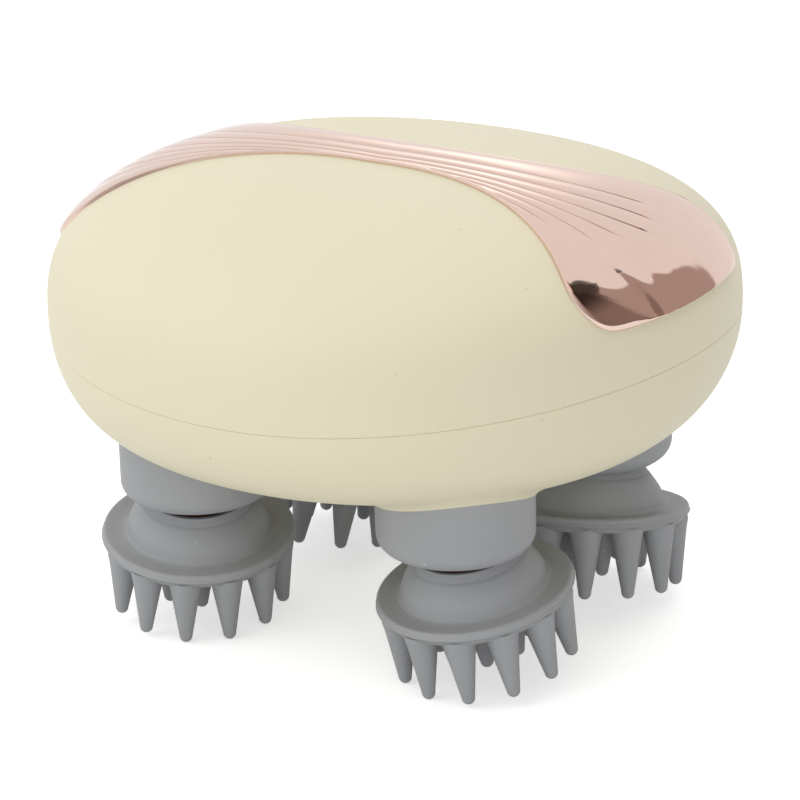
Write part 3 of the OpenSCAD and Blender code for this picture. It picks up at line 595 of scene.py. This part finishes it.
def boot_rim(head):
    """Skirt of the lower shell round a boot.

    It leaves the belly at "flare" from the boot and falls as (1 - s)^2.2 to a lip that
    stands under the belly by 1 mm on the outer side and by 1.8 mm on the inner side, then
    turns under in a small round and goes up inside."""
    flare = 3.0 * MM
    wall = BOOT + 0.4 * MM
    edge = 0.26 * MM
    bore = BOOT + 0.13 * MM
    a = turn(144)
    x0, y0, _ = HEAD_AT[head]
    rings = []

    def ring(radius, z):
        x, y = x0 + radius * np.cos(a), y0 + radius * np.sin(a)
        rings.append(np.stack([x, y, np.broadcast_to(z, a.shape)], axis=-1))

    def belly_at(radius):
        return belly_under(x0 + radius * np.cos(a), y0 + radius * np.sin(a))

    lip = (1.0 + 0.4 * (1 - np.cos(a - math.atan2(y0, x0)))) * MM
    ring(wall + flare, belly_at(wall + flare) + 1.0 * MM)
    for s in np.linspace(1, 0, 15):
        radius = wall + flare * s
        ring(radius, belly_at(radius) - (lip - edge) * (1 - s) ** 2.2 + 0.03 * MM * s)
    bottom = belly_at(wall) - lip + edge
    for t in np.radians([30, 60, 90]):
        ring(wall - edge * (1 - math.cos(t)), bottom - edge * math.sin(t))
    ring(bore + 0.03 * MM, bottom - edge)
    ring(bore, bottom - edge + 0.05 * MM)
    ring(bore, belly_at(bore) + 0.8 * MM)
    points, faces = torus_loft(np.stack(rings) + UP)
    return dress(piece(head + "_rim", points, faces, FINISHES["case_plastic"]),
                 "case", "case_plastic")


# ---------------------------------------------------------------- trim strip
# Half width of the strip's front and back side: at its middle, growth carried to the end of
# the case, power of the growth, and limit
FRONT = 6.0 * MM, 31.0 * MM, 2.46, 24.3 * MM
BACK = 5.0 * MM, 30.9 * MM, 2.7, 19.7 * MM
BLEND = 24                                      # how sharply the width meets its limit
HEM, CORNER = 8.9 * MM, 47 * MM
BEVEL_ALONG, BEVEL_ACROSS = (42 * MM, 48 * MM), (9 * MM, 17 * MM)    # the soft bevel's start, full
STEEP_ALONG = 34 * MM, 44 * MM                  # where the rest of the edge turns steep
TRIM_LIFT, TRIM_ROUND = 0.72 * MM, 0.7 * MM
# Valleys between the lobes from front to back: share across the strip at its middle, growth
# of the share out to the reach, exponent of the growth, and where along X the crease fades
VALLEYS = np.array([(-1.33, 0.71, 1.0, 0.037), (-1.20, 0.76, 1.0, 0.045),
                    (-1.13, 0.90, 1.0, 0.047), (-0.76, 0.74, 1.38, 0.049),
                    (-0.49, 0.70, 1.34, 0.0475), (0.0, 0.458, 1.38, 0.044)])
LOBES = len(VALLEYS) + 1
VALLEY_REACH = 48 * MM
FLUTE, FULL_FLUTE = 0.30 * MM, 4.5 * MM         # depth, which lobes this wide have in full
MELT = 36 * MM, 50 * MM                         # where a lobe's section turns into a wave
FADE = 42 * MM, 50 * MM                         # where the waves of the back lobes fade
CREASE = 0.28 * MM                              # depth of the fine groove in each valley
CREASE_WIDTH = 0.12 * MM, 0.10 * MM             # its half width at the middle and at its end


def trim_half(x, v):
    """Half width of the strip on the side of share v, which is -1 in front and 1 at the back:
    w = waist + growth (|x| / half length)^power, held under its limit m by
    (w^-n + m^-n)^(-1/n)."""
    def side(waist, growth, power, limit):
        w = (waist + growth * (np.abs(x) / HALF_LENGTH) ** power) / limit
        return limit * (w ** -BLEND + 1) ** (-1 / BLEND)
    return np.where(v < 0, side(*FRONT), side(*BACK))


def hem_x(y):
    """X of the dome's level line at the hem's height, over y."""
    s = (1 - (HEM / DOME) ** DOME_X[1]) ** (1 / DOME_X[0])
    return HALF_LENGTH * s * (1 - (np.abs(y) / (HALF_WIDTH * s)) ** OUTLINE) ** (1 / OUTLINE)


def trim_end(v):
    """Distance from the middle at which the line at share v ends."""
    x = np.full(v.shape, 52 * MM)
    for _ in range(5):
        x = hem_x(v * trim_half(x, v))
    return CORNER + (x - CORNER) * np.sqrt(np.maximum(0, 1 - v ** 20))


def lobe(count, x):
    """Index of the lobe that holds a count of lobes from -Y, and the shares of its two
    valleys a + b (|x| / reach)^e, held apart where they run together at the edge."""
    k = np.minimum(np.floor(count).astype(int), LOBES - 1)
    far = np.abs(x) / VALLEY_REACH
    lines = [np.full(x.shape, -1.0)]
    lines += [np.maximum(0.02 * (n + 1) - 1, a + b * far ** e)
              for n, (a, b, e, _) in enumerate(VALLEYS)]
    lines = np.stack(lines + [np.full(x.shape, 1.0)])
    return k, np.take_along_axis(lines, k[None], 0)[0], np.take_along_axis(lines, k[None] + 1, 0)[0]


def lobe_width(low, high, x):
    return high * trim_half(x, high) - low * trim_half(x, low)


def share_at(count, x):
    """Share across the strip at a count of lobes."""
    k, low, high = lobe(count, x)
    return low + (count - k) * (high - low)


def smooth(value, low, high):
    """3 t^2 - 2 t^3 of the share t of the way from low to high."""
    t = np.clip((value - low) / (high - low), 0, 1)
    return t * t * (3 - 2 * t)


def grooves(count, x):
    """Share exp(-(d / width)^2) of the fine groove that follows each valley until it fades."""
    k, low, high = lobe(count, x)
    wide = lobe_width(low, high, x)
    x = np.abs(x)
    half = CREASE_WIDTH[0] + (CREASE_WIDTH[1] - CREASE_WIDTH[0]) * smooth(x, 15 * MM, 42 * MM)
    share = np.zeros(x.shape)
    for n, (a, b, e, end) in enumerate(VALLEYS):
        line = a + b * (x / VALLEY_REACH) ** e
        near = np.where(k == n, (n + 1 - count) * wide,
                        np.where(k == n + 1, (count - n - 1) * wide, 1))
        there = np.clip((line + 0.97 - 0.02 * n) / 0.08, 0, 1) * (1 - smooth(x, end - 4 * MM, end))
        share = share + there * np.exp(-(near / half) ** 2)
    return share


def flutes(count, x):
    """Depth of the surface under the crests of the widest lobes.

    Across a lobe w runs from -1 to 1. The depth is w^2 on the strip and melts into
    sin^2 on the fans, narrow lobes lie lower as a whole, and the fine grooves come on top."""
    k, low, high = lobe(count, x)
    w = 2 * (count - k) - 1
    wide = lobe_width(low, high, x)
    fine = CREASE * grooves(count, x)
    x = np.abs(x)
    melt = smooth(x, *MELT)
    wave = w * w * (1 - melt) + np.sin(math.pi / 2 * w) ** 2 * melt
    depth = FLUTE * (1 - 0.6 * smooth(x, 10 * MM, 48 * MM))
    depth = depth * (1 - 0.9 * smooth(x, *FADE) * np.clip(count - 2, 0, 1))
    return depth * (1 - np.clip(wide / FULL_FLUTE, 0, 1) * (1 - wave)) + fine


def trim_counts():
    """Counts of lobes across the strip, close together in the valleys and at the edges."""
    counts = [0.0]
    for k in range(LOBES):
        steps = 40 if k == LOBES - 1 else 26 if k == 0 else 16
        s = np.arange(1, steps + 1) / steps
        counts += (k + 0.5 - 0.5 * np.cos(math.pi * s)).tolist()
    return np.array(counts)


def to_outline(points, outline):
    """Distance of each point to a closed outline of points, over its segments."""
    d = np.full(points.shape[:-1], 1.0)
    for a, b in zip(outline, np.roll(outline, -1, axis=0)):
        along = b - a
        s = np.clip((points - a) @ along / max(along @ along, 1e-14), 0, 1)
        d = np.minimum(d, np.linalg.norm(points - a - s[..., None] * along, axis=-1))
    return d


def trim_grid():
    """Counts, plan points (x, y) and border indices of the strip's grid.

    A row keeps its share t along the strip. Each point's share v across is found from its
    count by turns with its x = t end(v)."""
    t = np.linspace(0, 1, 90)
    t = np.concatenate([t[t < 0.9], 1 - 0.1 * (1 - np.sin(np.linspace(0, math.pi / 2, 16))) ** 1.5])
    t = np.concatenate([-t[::-1], t[1:]])
    count, t = np.meshgrid(trim_counts(), t)
    x = t * 55 * MM
    for _ in range(5):
        v = share_at(count, x)
        x = t * trim_end(v)
    rows, cols = x.shape
    border = np.concatenate([
        np.arange(cols), cols * np.arange(1, rows) + cols - 1,
        (rows - 1) * cols + np.arange(cols - 1)[::-1], cols * np.arange(1, rows - 1)[::-1]])
    return count, x, v * trim_half(x, v), border


def trim_strip():
    """Plated strip, lifted off the dome by an edge (1 - (1 - d)^n)^(1/n) in the distance d
    from its outline, less the flutes. The edge is steep, narrow at the hem, and a soft
    bevel at the fans' front corners."""
    count, x, y, border = trim_grid()
    base = np.stack([x, y, dome_over(x, y)], axis=-1)
    d = to_outline(base, base.reshape(-1, 3)[border])
    corner = smooth(np.abs(x), *BEVEL_ALONG) * smooth(-y, *BEVEL_ACROSS)
    steep = smooth(np.abs(x), *STEEP_ALONG) * (1 - corner)
    width = TRIM_ROUND * (1 + 0.6 * corner - 0.8 * steep)
    d, power = np.clip(d / width, 0, 1), 3 - 1.3 * corner + 3 * steep
    lift = TRIM_LIFT * (1 - (1 - d) ** power) ** (1 / power) - flutes(count, x) * d

    def lifted(amount):
        grow = 1 + amount[..., None] / np.array([HALF_LENGTH, HALF_WIDTH, DOME])
        return base * grow + UP

    top, under = lifted(lift + 0.03 * MM), lifted(np.full(x.shape, -0.25 * MM))
    rows, cols = x.shape
    faces = band(rows, cols, False) + [f[::-1] for f in band(rows, cols, False, rows * cols)]
    after = np.roll(border, -1)
    m = rows * cols
    faces += np.stack([after, border, border + m, after + m], axis=-1).tolist()
    points = np.concatenate([top.reshape(-1, 3), under.reshape(-1, 3)])
    made = piece("fluted_trim", points, faces, FINISHES["rose_plating"], sharp=50)
    # Mask of the painted shade in the fine grooves: the plating is tinted brown along them, to
    # stand for light lost there.
    mask = made.data.attributes.new("groove", "FLOAT", "POINT")
    mask.data.foreach_set("value", np.concatenate([grooves(count, x).ravel(), np.zeros(m)]))
    return dress(made, "case", "rose_plating", "trim_strip")


# ---------------------------------------------------------------- boots
def boot(head):
    """Soft sleeve round a drive shaft: a plain wall, a round lower edge that curls in, and
    a wide mouth."""
    low, edge, mouth, inner = -31.4 * MM, 3.1 * MM, 10.75 * MM, 11.2 * MM
    profile = [(6.5 * MM, SEAT), (BOOT - 0.15 * MM, SEAT), (BOOT, SEAT - 0.15 * MM)]
    profile += arc(BOOT - edge, low + edge, edge, 0, -70, 16)
    profile += [(mouth + 0.06 * MM, low + 0.14 * MM), (mouth, low + 0.24 * MM),
                (mouth, low + 0.8 * MM), (inner, low + 1.9 * MM), (inner, -21.2 * MM),
                (6.5 * MM, -21.2 * MM)]
    x, y, _ = HEAD_AT[head]
    points, faces = torus_loft(lathe(profile, 128) + [x, y, 0] + UP)
    made = piece(head + "_sleeve", points, faces, FINISHES["grey_silicone"])
    return dress(made, "case", "grey_silicone", head + "_boot")


# ---------------------------------------------------------------- claws
BRIM, REACH = 16.35 * MM, 18.4 * MM             # radius of the brim, its level down the pin
FINGER_REACH, FINGER_RING, SPLAY = 32.6 * MM, 13.3 * MM, 0.95 * MM
FINGER_TIP, FINGER_ROOT, INNER_ROOT = 1.1 * MM, 2.8 * MM, 2.5 * MM
INNER_RING = FINGER_RING * 0.56
FINGER_TURN = dict(zip(HEADS, (11.4, 14, 2.5, 8)))
INNER_TURN = dict(zip(HEADS, (12, 41, 20, 30)))
INNER_SHORT = 2.6 * MM       # how much the inner fingers are shorter than the outer ones


def head_matrix(head):
    """Frame of a head: origin at its pivot, Z up its pin and X towards its lowest finger."""
    z = Vector(JOINTS[head + "_head_spin"]["axis"])
    lean = math.atan2(-z.y, -z.x)
    tilt = math.atan2(math.hypot(z.x, z.y), z.z)
    return (Matrix.Translation(HEAD_AT[head]) @ Matrix.Rotation(lean, 4, "Z")
            @ Matrix.Rotation(-tilt, 4, "Y"))


def moved(points, matrix):
    m = np.array(matrix)
    return points @ m[:3, :3].T + m[:3, 3]


def finger(base, place, ring, root, lean=0.0, short=0.0):
    """Straight tapered finger with a round tip, that leans outwards by "lean" at its tip and
    widens by s^12 at its root. It ends "short" of the full reach."""
    length = FINGER_REACH - FINGER_TIP - base - short
    s = np.linspace(0, 1, 16)
    radius = FINGER_TIP + (root - FINGER_TIP) * s + 0.12 * MM * s ** 12
    shank = np.stack([radius, -base - length * (1 - s)], axis=-1)
    a = np.radians(np.linspace(-86, 0, 8))[:-1]
    tip = np.stack([FINGER_TIP * np.cos(a), -base - length + FINGER_TIP * np.sin(a)], axis=-1)
    top = [[root, -base + 0.6 * MM]]
    rings = lathe(np.concatenate([tip, shank, top]), 32)
    rings[..., 0] += ring + lean * np.clip((-rings[..., 2] - base) / length, 0, 1)
    c, s = math.cos(place), math.sin(place)
    x, y = rings[..., 0].copy(), rings[..., 1].copy()
    rings[..., 0], rings[..., 1] = c * x - s * y, s * x + c * y
    return closed_loft(rings)


def claw(head):
    """Silicone head: collar over a small step, bell-shaped foot, dished brim with a rolled
    edge and a parting bead, chamfered underside, and its fingers."""
    base = REACH + 2.6 * MM
    bead = 0.16 * MM
    profile = [(0.3 * MM, -base), (BRIM - 1.15 * MM, -base), (BRIM - 0.85 * MM, -base + 0.05 * MM),
               (BRIM - 0.6 * MM, -base + 0.22 * MM), (BRIM - 0.12 * MM, -base + 1.22 * MM)]
    profile += arc(BRIM - 0.02 * MM, -base + 1.24 * MM + bead, bead, -80, 80, 6)
    profile += [(BRIM - 0.07 * MM, -REACH - 0.72 * MM)]
    profile += arc(BRIM - 0.62 * MM, -REACH - 0.62 * MM, 0.55 * MM, 5, 100, 9)
    profile += [(BRIM - 1.5 * MM, -REACH - 0.12 * MM), (BRIM - 2.2 * MM, -REACH - 0.24 * MM),
                (BRIM - 2.9 * MM, -REACH - 0.28 * MM)]
    profile += arc(13.0 * MM, -REACH + 0.7 * MM, 0.95 * MM, -80, -165, 7)
    profile += [(11.9 * MM, -17.3 * MM), (11.6 * MM, -16.5 * MM), (11.1 * MM, -15.6 * MM),
                (10.45 * MM, -14.7 * MM), (9.75 * MM, -13.8 * MM), (9.38 * MM, -13.3 * MM),
                (9.24 * MM, -13.22 * MM), (9.16 * MM, -13.1 * MM), (8.9 * MM, -12.7 * MM),
                (8.66 * MM, -12.25 * MM)]
    profile += arc(8.36 * MM, -12.15 * MM, 0.25 * MM, 0, 90, 5)
    profile += [(8.05 * MM, -11.9 * MM), (8.0 * MM, -12.0 * MM), (8.0 * MM, -19.3 * MM),
                (0.3 * MM, -19.3 * MM)]
    parts = [closed_loft(lathe(profile, 128))]
    start = math.radians(FINGER_TURN[head])
    parts += [finger(base, start + a, FINGER_RING, FINGER_ROOT, SPLAY) for a in turn(12)]
    turned = math.radians(INNER_TURN[head])
    parts += [finger(base, turned + a, INNER_RING, INNER_ROOT, short=INNER_SHORT)
              for a in turn(8)]
    parts.append(finger(base, 0.0, 0.0, INNER_ROOT, short=INNER_SHORT))
    points, faces = joined(parts)
    points = moved(points, head_matrix(head))
    made = piece(head + "_head", points, faces, FINISHES["grey_silicone"], sharp=60)
    return dress(made, head + "_claw", "grey_silicone", head + "_claw")


# ---------------------------------------------------------------- button, pipe and plug
def button():
    """Round button that follows the flank, with a rolled edge and a shallow finger dish."""
    x, z, radius = BUTTON
    proud = 0.2 * MM
    dish = 0.35 * MM
    steps = [(-radius * 0.97 * (1 - s), -(proud - dish * (1 - s * s))) for s in
             np.linspace(0.02, 0.80, 12)]
    steps += [(-0.30 * MM * (1 - math.sin(a)) - 0.02 * MM, -(proud - 0.3 * MM * (1 - math.cos(a))))
              for a in np.radians(np.linspace(0, 90, 7))]
    steps += [(0.0, 4 * MM), (1.1 * MM, 4.2 * MM), (1.1 * MM, 5 * MM), (-2 * MM, 5 * MM)]
    points, faces = closed_loft(flank_rings(x, z, round_outline(radius), steps))
    made = piece("power_key", points, faces, FINISHES["case_plastic"])
    return dress(made, "button", "case_plastic", "power_button")


def lens():
    """Clear light pipe with a slightly crowned face just under the flank."""
    x, z, radius = PIPE
    steps = [(-radius * (1 - s), 0.05 * MM + 0.2 * MM * s * s) for s in np.linspace(0.02, 1, 9)]
    steps += [(0.0, 9 * MM)]
    points, faces = closed_loft(flank_rings(x, z, round_outline(radius), steps))
    made = piece("lamp_lens", points, faces, FINISHES["light_pipe"])
    return dress(made, "case", "light_pipe", "light_pipe")


def plug():
    """Oblong silicone plug with a rolled edge, and its tongue."""
    x, z, width, height = PORT
    edge = 0.35 * MM
    steps = [(-height / 2 * 0.97 * (1 - s), 0.02 * MM) for s in np.linspace(0.02, 0.86, 9)]
    steps += [(-edge * (1 - math.sin(a)), 0.02 * MM + edge * (1 - math.cos(a)))
              for a in np.radians(np.linspace(0, 90, 6))]
    steps += [(0.0, 1.2 * MM), (-2 * MM, 1.25 * MM)]
    plate = closed_loft(flank_rings(x, z, oblong_outline(width, height), steps))
    tongue = closed_loft(flank_rings(x, z, oblong_outline(8.1 * MM, 2.5 * MM),
                                     [(0.0, 1.0 * MM), (0.0, 5.5 * MM), (-0.3 * MM, 6.2 * MM)]))
    points, faces = joined([plate, tongue])
    made = piece("socket_plug", points, faces, FINISHES["plug_silicone"])
    return dress(made, "plug", "plug_silicone", "port_plug")


# ---------------------------------------------------------------- studio
AZIMUTH, ELEVATION, ROLL = 32.169, 20.422, -1.573    # degrees
DISTANCE = 649.2 * MM
AIM = (0.443 * MM, -18.365 * MM)                     # right of and above the widest level
LENS, SENSOR = 173.27, 36.0


def camera():
    """Camera at the azimuth and elevation round the object, rolled about its own axis."""
    a, e = math.radians(AZIMUTH), math.radians(ELEVATION)
    right = Vector((math.cos(a), math.sin(a), 0))
    back = Vector((math.sin(a) * math.cos(e), -math.cos(a) * math.cos(e), math.sin(e)))
    up = back.cross(right)
    place = right * AIM[0] + Vector((0, 0, MID + AIM[1])) + back * DISTANCE
    turned = Matrix((right, up, back)).transposed()
    lens_of = bpy.data.cameras.new("camera")
    lens_of.lens, lens_of.sensor_width = LENS, SENSOR
    lens_of.clip_start, lens_of.clip_end = 0.01, 50
    made = bpy.data.objects.new("camera", lens_of)
    made.matrix_world = (Matrix.Translation(place) @ turned.to_4x4()
                         @ Matrix.Rotation(math.radians(ROLL), 4, "Z"))
    bpy.context.scene.collection.objects.link(made)
    bpy.context.scene.camera = made


def soft_light(name, place, aim, size, watts):
    """Round area light, which the plating doesn't mirror."""
    data = bpy.data.lights.new(name, "AREA")
    data.shape, data.size, data.energy = "DISK", size, watts
    made = bpy.data.objects.new(name, data)
    made.location = place
    made.rotation_mode = "QUATERNION"
    made.rotation_quaternion = (Vector(aim) - Vector(place)).to_track_quat("-Z", "Y")
    made.visible_glossy = False
    bpy.context.scene.collection.objects.link(made)


FLOOR_LIFT, FLOOR_GLOSS = 0.55, 0.20            # floor's own light to the camera, to gloss
SWEEP = ((-180, 1.0), (-80, 0.95), (-40, 0.55), (-10, 0.25), (31, 0.27), (34, 0.46),
         (66, 0.46), (68, 0.93), (180, 0.93))   # azimuth in degrees from +X, and level
WARM = (1.0, 0.62, 0.48)                        # tint that gloss sees where the sweep dims
# Places in the room, in degrees of azimuth and of elevation
LEAN, LEAN_BETWEEN, LEAN_HIGH = 19.0, (40, 50), (20, 44)     # bright side's shift with height
CEILING = 66, 70                                # elevations over which the ceiling turns white
DARK, DARK_HIGH = 0.85, (34, 56)                # dark corner's strength, and its lower border
DARK_FROM, DARK_TO = (-30, 0), (36, 38)         # its two sides
DARK_STEP, DARK_STEP_HIGH = 17.0, (50, 52)      # widening of its far side high up
SOFT_BOX, SOFT_BOX_SIZE, SOFT_BOX_LEVEL = (119, 25), (6, 8), 0.8
BEHIND, BEHIND_SIZE, BEHIND_LEVEL = (-60, 15), (45, 40), 0.35


def between_steps(tree, value, low, high):
    """0 below low, 1 above high and smooth between them."""
    node = tree.nodes.new("ShaderNodeMapRange")
    node.interpolation_type = "SMOOTHSTEP"
    node.inputs["From Min"].default_value = low
    node.inputs["From Max"].default_value = high
    tree.links.new(value, node.inputs["Value"])
    return node.outputs["Result"]


def inverse(tree, value):
    return maths(tree, "SUBTRACT", 1.0, value)


def round_blob(tree, across, high, centre, size):
    """exp(-(da^2 + dh^2)) of the offsets in azimuth and elevation over the blob's size."""
    total = None
    for value, middle, half in zip((across, high), centre, size):
        offset = maths(tree, "DIVIDE", maths(tree, "SUBTRACT", value, float(middle)), float(half))
        square = maths(tree, "MULTIPLY", offset, offset)
        total = square if total is None else maths(tree, "ADD", total, square)
    return maths(tree, "EXPONENT", maths(tree, "MULTIPLY", total, -1.0))


def world():
    """Pale studio all round, with a dim room towards +X that is darkest high up.

    Azimuth is atan2(y, x) and elevation asin(z) of the direction, in degrees. A ramp over
    the azimuth gives the level, whose bright side leans towards +X with height, a soft box
    stands behind the strip, and gloss mirrors a dim room behind the camera and a warm tint
    where the level is low."""
    made = bpy.data.worlds.new("studio")
    made.use_nodes = True
    tree = made.node_tree
    plain = tree.nodes["Background"]
    place = tree.nodes.new("ShaderNodeTexCoord").outputs["Generated"]
    parts = tree.nodes.new("ShaderNodeSeparateXYZ")
    tree.links.new(place, parts.inputs[0])
    azimuth = maths(tree, "ARCTAN2", parts.outputs["Y"], parts.outputs["X"])
    azimuth = maths(tree, "MULTIPLY", azimuth, 180 / math.pi)
    elevation = maths(tree, "MULTIPLY", maths(tree, "ARCSINE", parts.outputs["Z"]), 180 / math.pi)
    lean = maths(tree, "MULTIPLY", between_steps(tree, elevation, *LEAN_HIGH),
                 between_steps(tree, azimuth, *LEAN_BETWEEN))
    lean = maths(tree, "MULTIPLY", lean, LEAN)
    ramp = tree.nodes.new("ShaderNodeValToRGB")
    leaned = maths(tree, "ADD", azimuth, maths(tree, "ADD", lean, 180.0))
    tree.links.new(maths(tree, "DIVIDE", leaned, 360.0, clamp=True), ramp.inputs[0])
    ends = ramp.color_ramp.elements
    while len(ends) < len(SWEEP):
        ends.new(0.5)
    for k, (degrees, level) in enumerate(SWEEP):
        ends[k].position = (degrees + 180) / 360
        ends[k].color = (level, level, level, 1)
    ceiling = between_steps(tree, elevation, *CEILING)
    high = between_steps(tree, elevation, *DARK_HIGH)
    step = maths(tree, "MULTIPLY", between_steps(tree, elevation, *DARK_STEP_HIGH), DARK_STEP)
    limit = between_steps(tree, maths(tree, "SUBTRACT", azimuth, step), *DARK_TO)
    beside = maths(tree, "MULTIPLY", between_steps(tree, azimuth, *DARK_FROM), inverse(tree, limit))
    dark = maths(tree, "MULTIPLY", maths(tree, "MULTIPLY", high, beside), DARK)
    level = maths(tree, "MULTIPLY", ramp.outputs["Color"], inverse(tree, dark))
    level = maths(tree, "MAXIMUM", level, ceiling)
    box = round_blob(tree, azimuth, elevation, SOFT_BOX, SOFT_BOX_SIZE)
    level = maths(tree, "ADD", level, maths(tree, "MULTIPLY", box, SOFT_BOX_LEVEL))
    rays = tree.nodes.new("ShaderNodeLightPath")
    glossy = rays.outputs["Is Glossy Ray"]
    behind = round_blob(tree, azimuth, elevation, BEHIND, BEHIND_SIZE)
    behind = maths(tree, "MULTIPLY", behind, maths(tree, "MULTIPLY", glossy, BEHIND_LEVEL))
    tree.links.new(maths(tree, "MULTIPLY", level, inverse(tree, behind)), plain.inputs["Strength"])
    white = maths(tree, "MAXIMUM", ramp.outputs["Color"], inverse(tree, glossy))
    tree.links.new(blended(tree, white, WARM, (1, 1, 1)), plain.inputs["Color"])
    seen = tree.nodes.new("ShaderNodeBackground")
    seen.inputs["Strength"].default_value = 1.0
    mix = tree.nodes.new("ShaderNodeMixShader")
    tree.links.new(rays.outputs["Is Camera Ray"], mix.inputs[0])
    tree.links.new(plain.outputs[0], mix.inputs[1])
    tree.links.new(seen.outputs[0], mix.inputs[2])
    tree.links.new(mix.outputs[0], tree.nodes["World Output"].inputs["Surface"])
    seen.inputs["Color"].default_value = (1, 1, 1, 1)
    bpy.context.scene.world = made


def floor():
    """Pale round floor. Rays from the camera see it lifted to white, rays from gloss and
    glass a little less, and the object's shadow stays on it."""
    a = turn(96)
    points = np.stack([3 * np.cos(a), 3 * np.sin(a), np.zeros(96)], axis=-1)
    mesh = bpy.data.meshes.new("floor")
    mesh.from_pydata(points.tolist(), [], [list(range(96))])
    made = bpy.data.objects.new("floor", mesh)
    bpy.context.scene.collection.objects.link(made)
    paint = bpy.data.materials.new("floor")
    paint.use_nodes = True
    tree = paint.node_tree
    shader = tree.nodes["Principled BSDF"]
    shader.inputs["Base Color"].default_value = (0.86, 0.86, 0.86, 1)
    shader.inputs["Roughness"].default_value = 0.9
    shader.inputs["Emission Color"].default_value = (1, 1, 1, 1)
    rays = tree.nodes.new("ShaderNodeLightPath")
    seen = maths(tree, "MULTIPLY", rays.outputs["Is Camera Ray"], FLOOR_LIFT)
    mirrored = maths(tree, "MAXIMUM", rays.outputs["Is Glossy Ray"],
                     rays.outputs["Is Transmission Ray"])
    mirrored = maths(tree, "MULTIPLY", mirrored, FLOOR_GLOSS)
    tree.links.new(maths(tree, "MAXIMUM", seen, mirrored), shader.inputs["Emission Strength"])
    mesh.materials.append(paint)


camera()
world()
floor()
soft_light("key", (-0.5, -0.7, 0.9), (0, 0, 0.05), 0.7, 1.6)
soft_light("top", (0.15, 0.35, 1.1), (0, 0, 0.05), 0.8, 1.6)
soft_light("fill", (0.75, -0.55, 0.25), (0, 0, 0.04), 0.9, 1.4)
bpy.context.scene.view_settings.view_transform = "Standard"

dress_solids()
upper_shell()
lower_shell()
trim_strip()
for name in HEADS:
    boot_rim(name)
    boot(name)
    claw(name)
button()
lens()
plug()
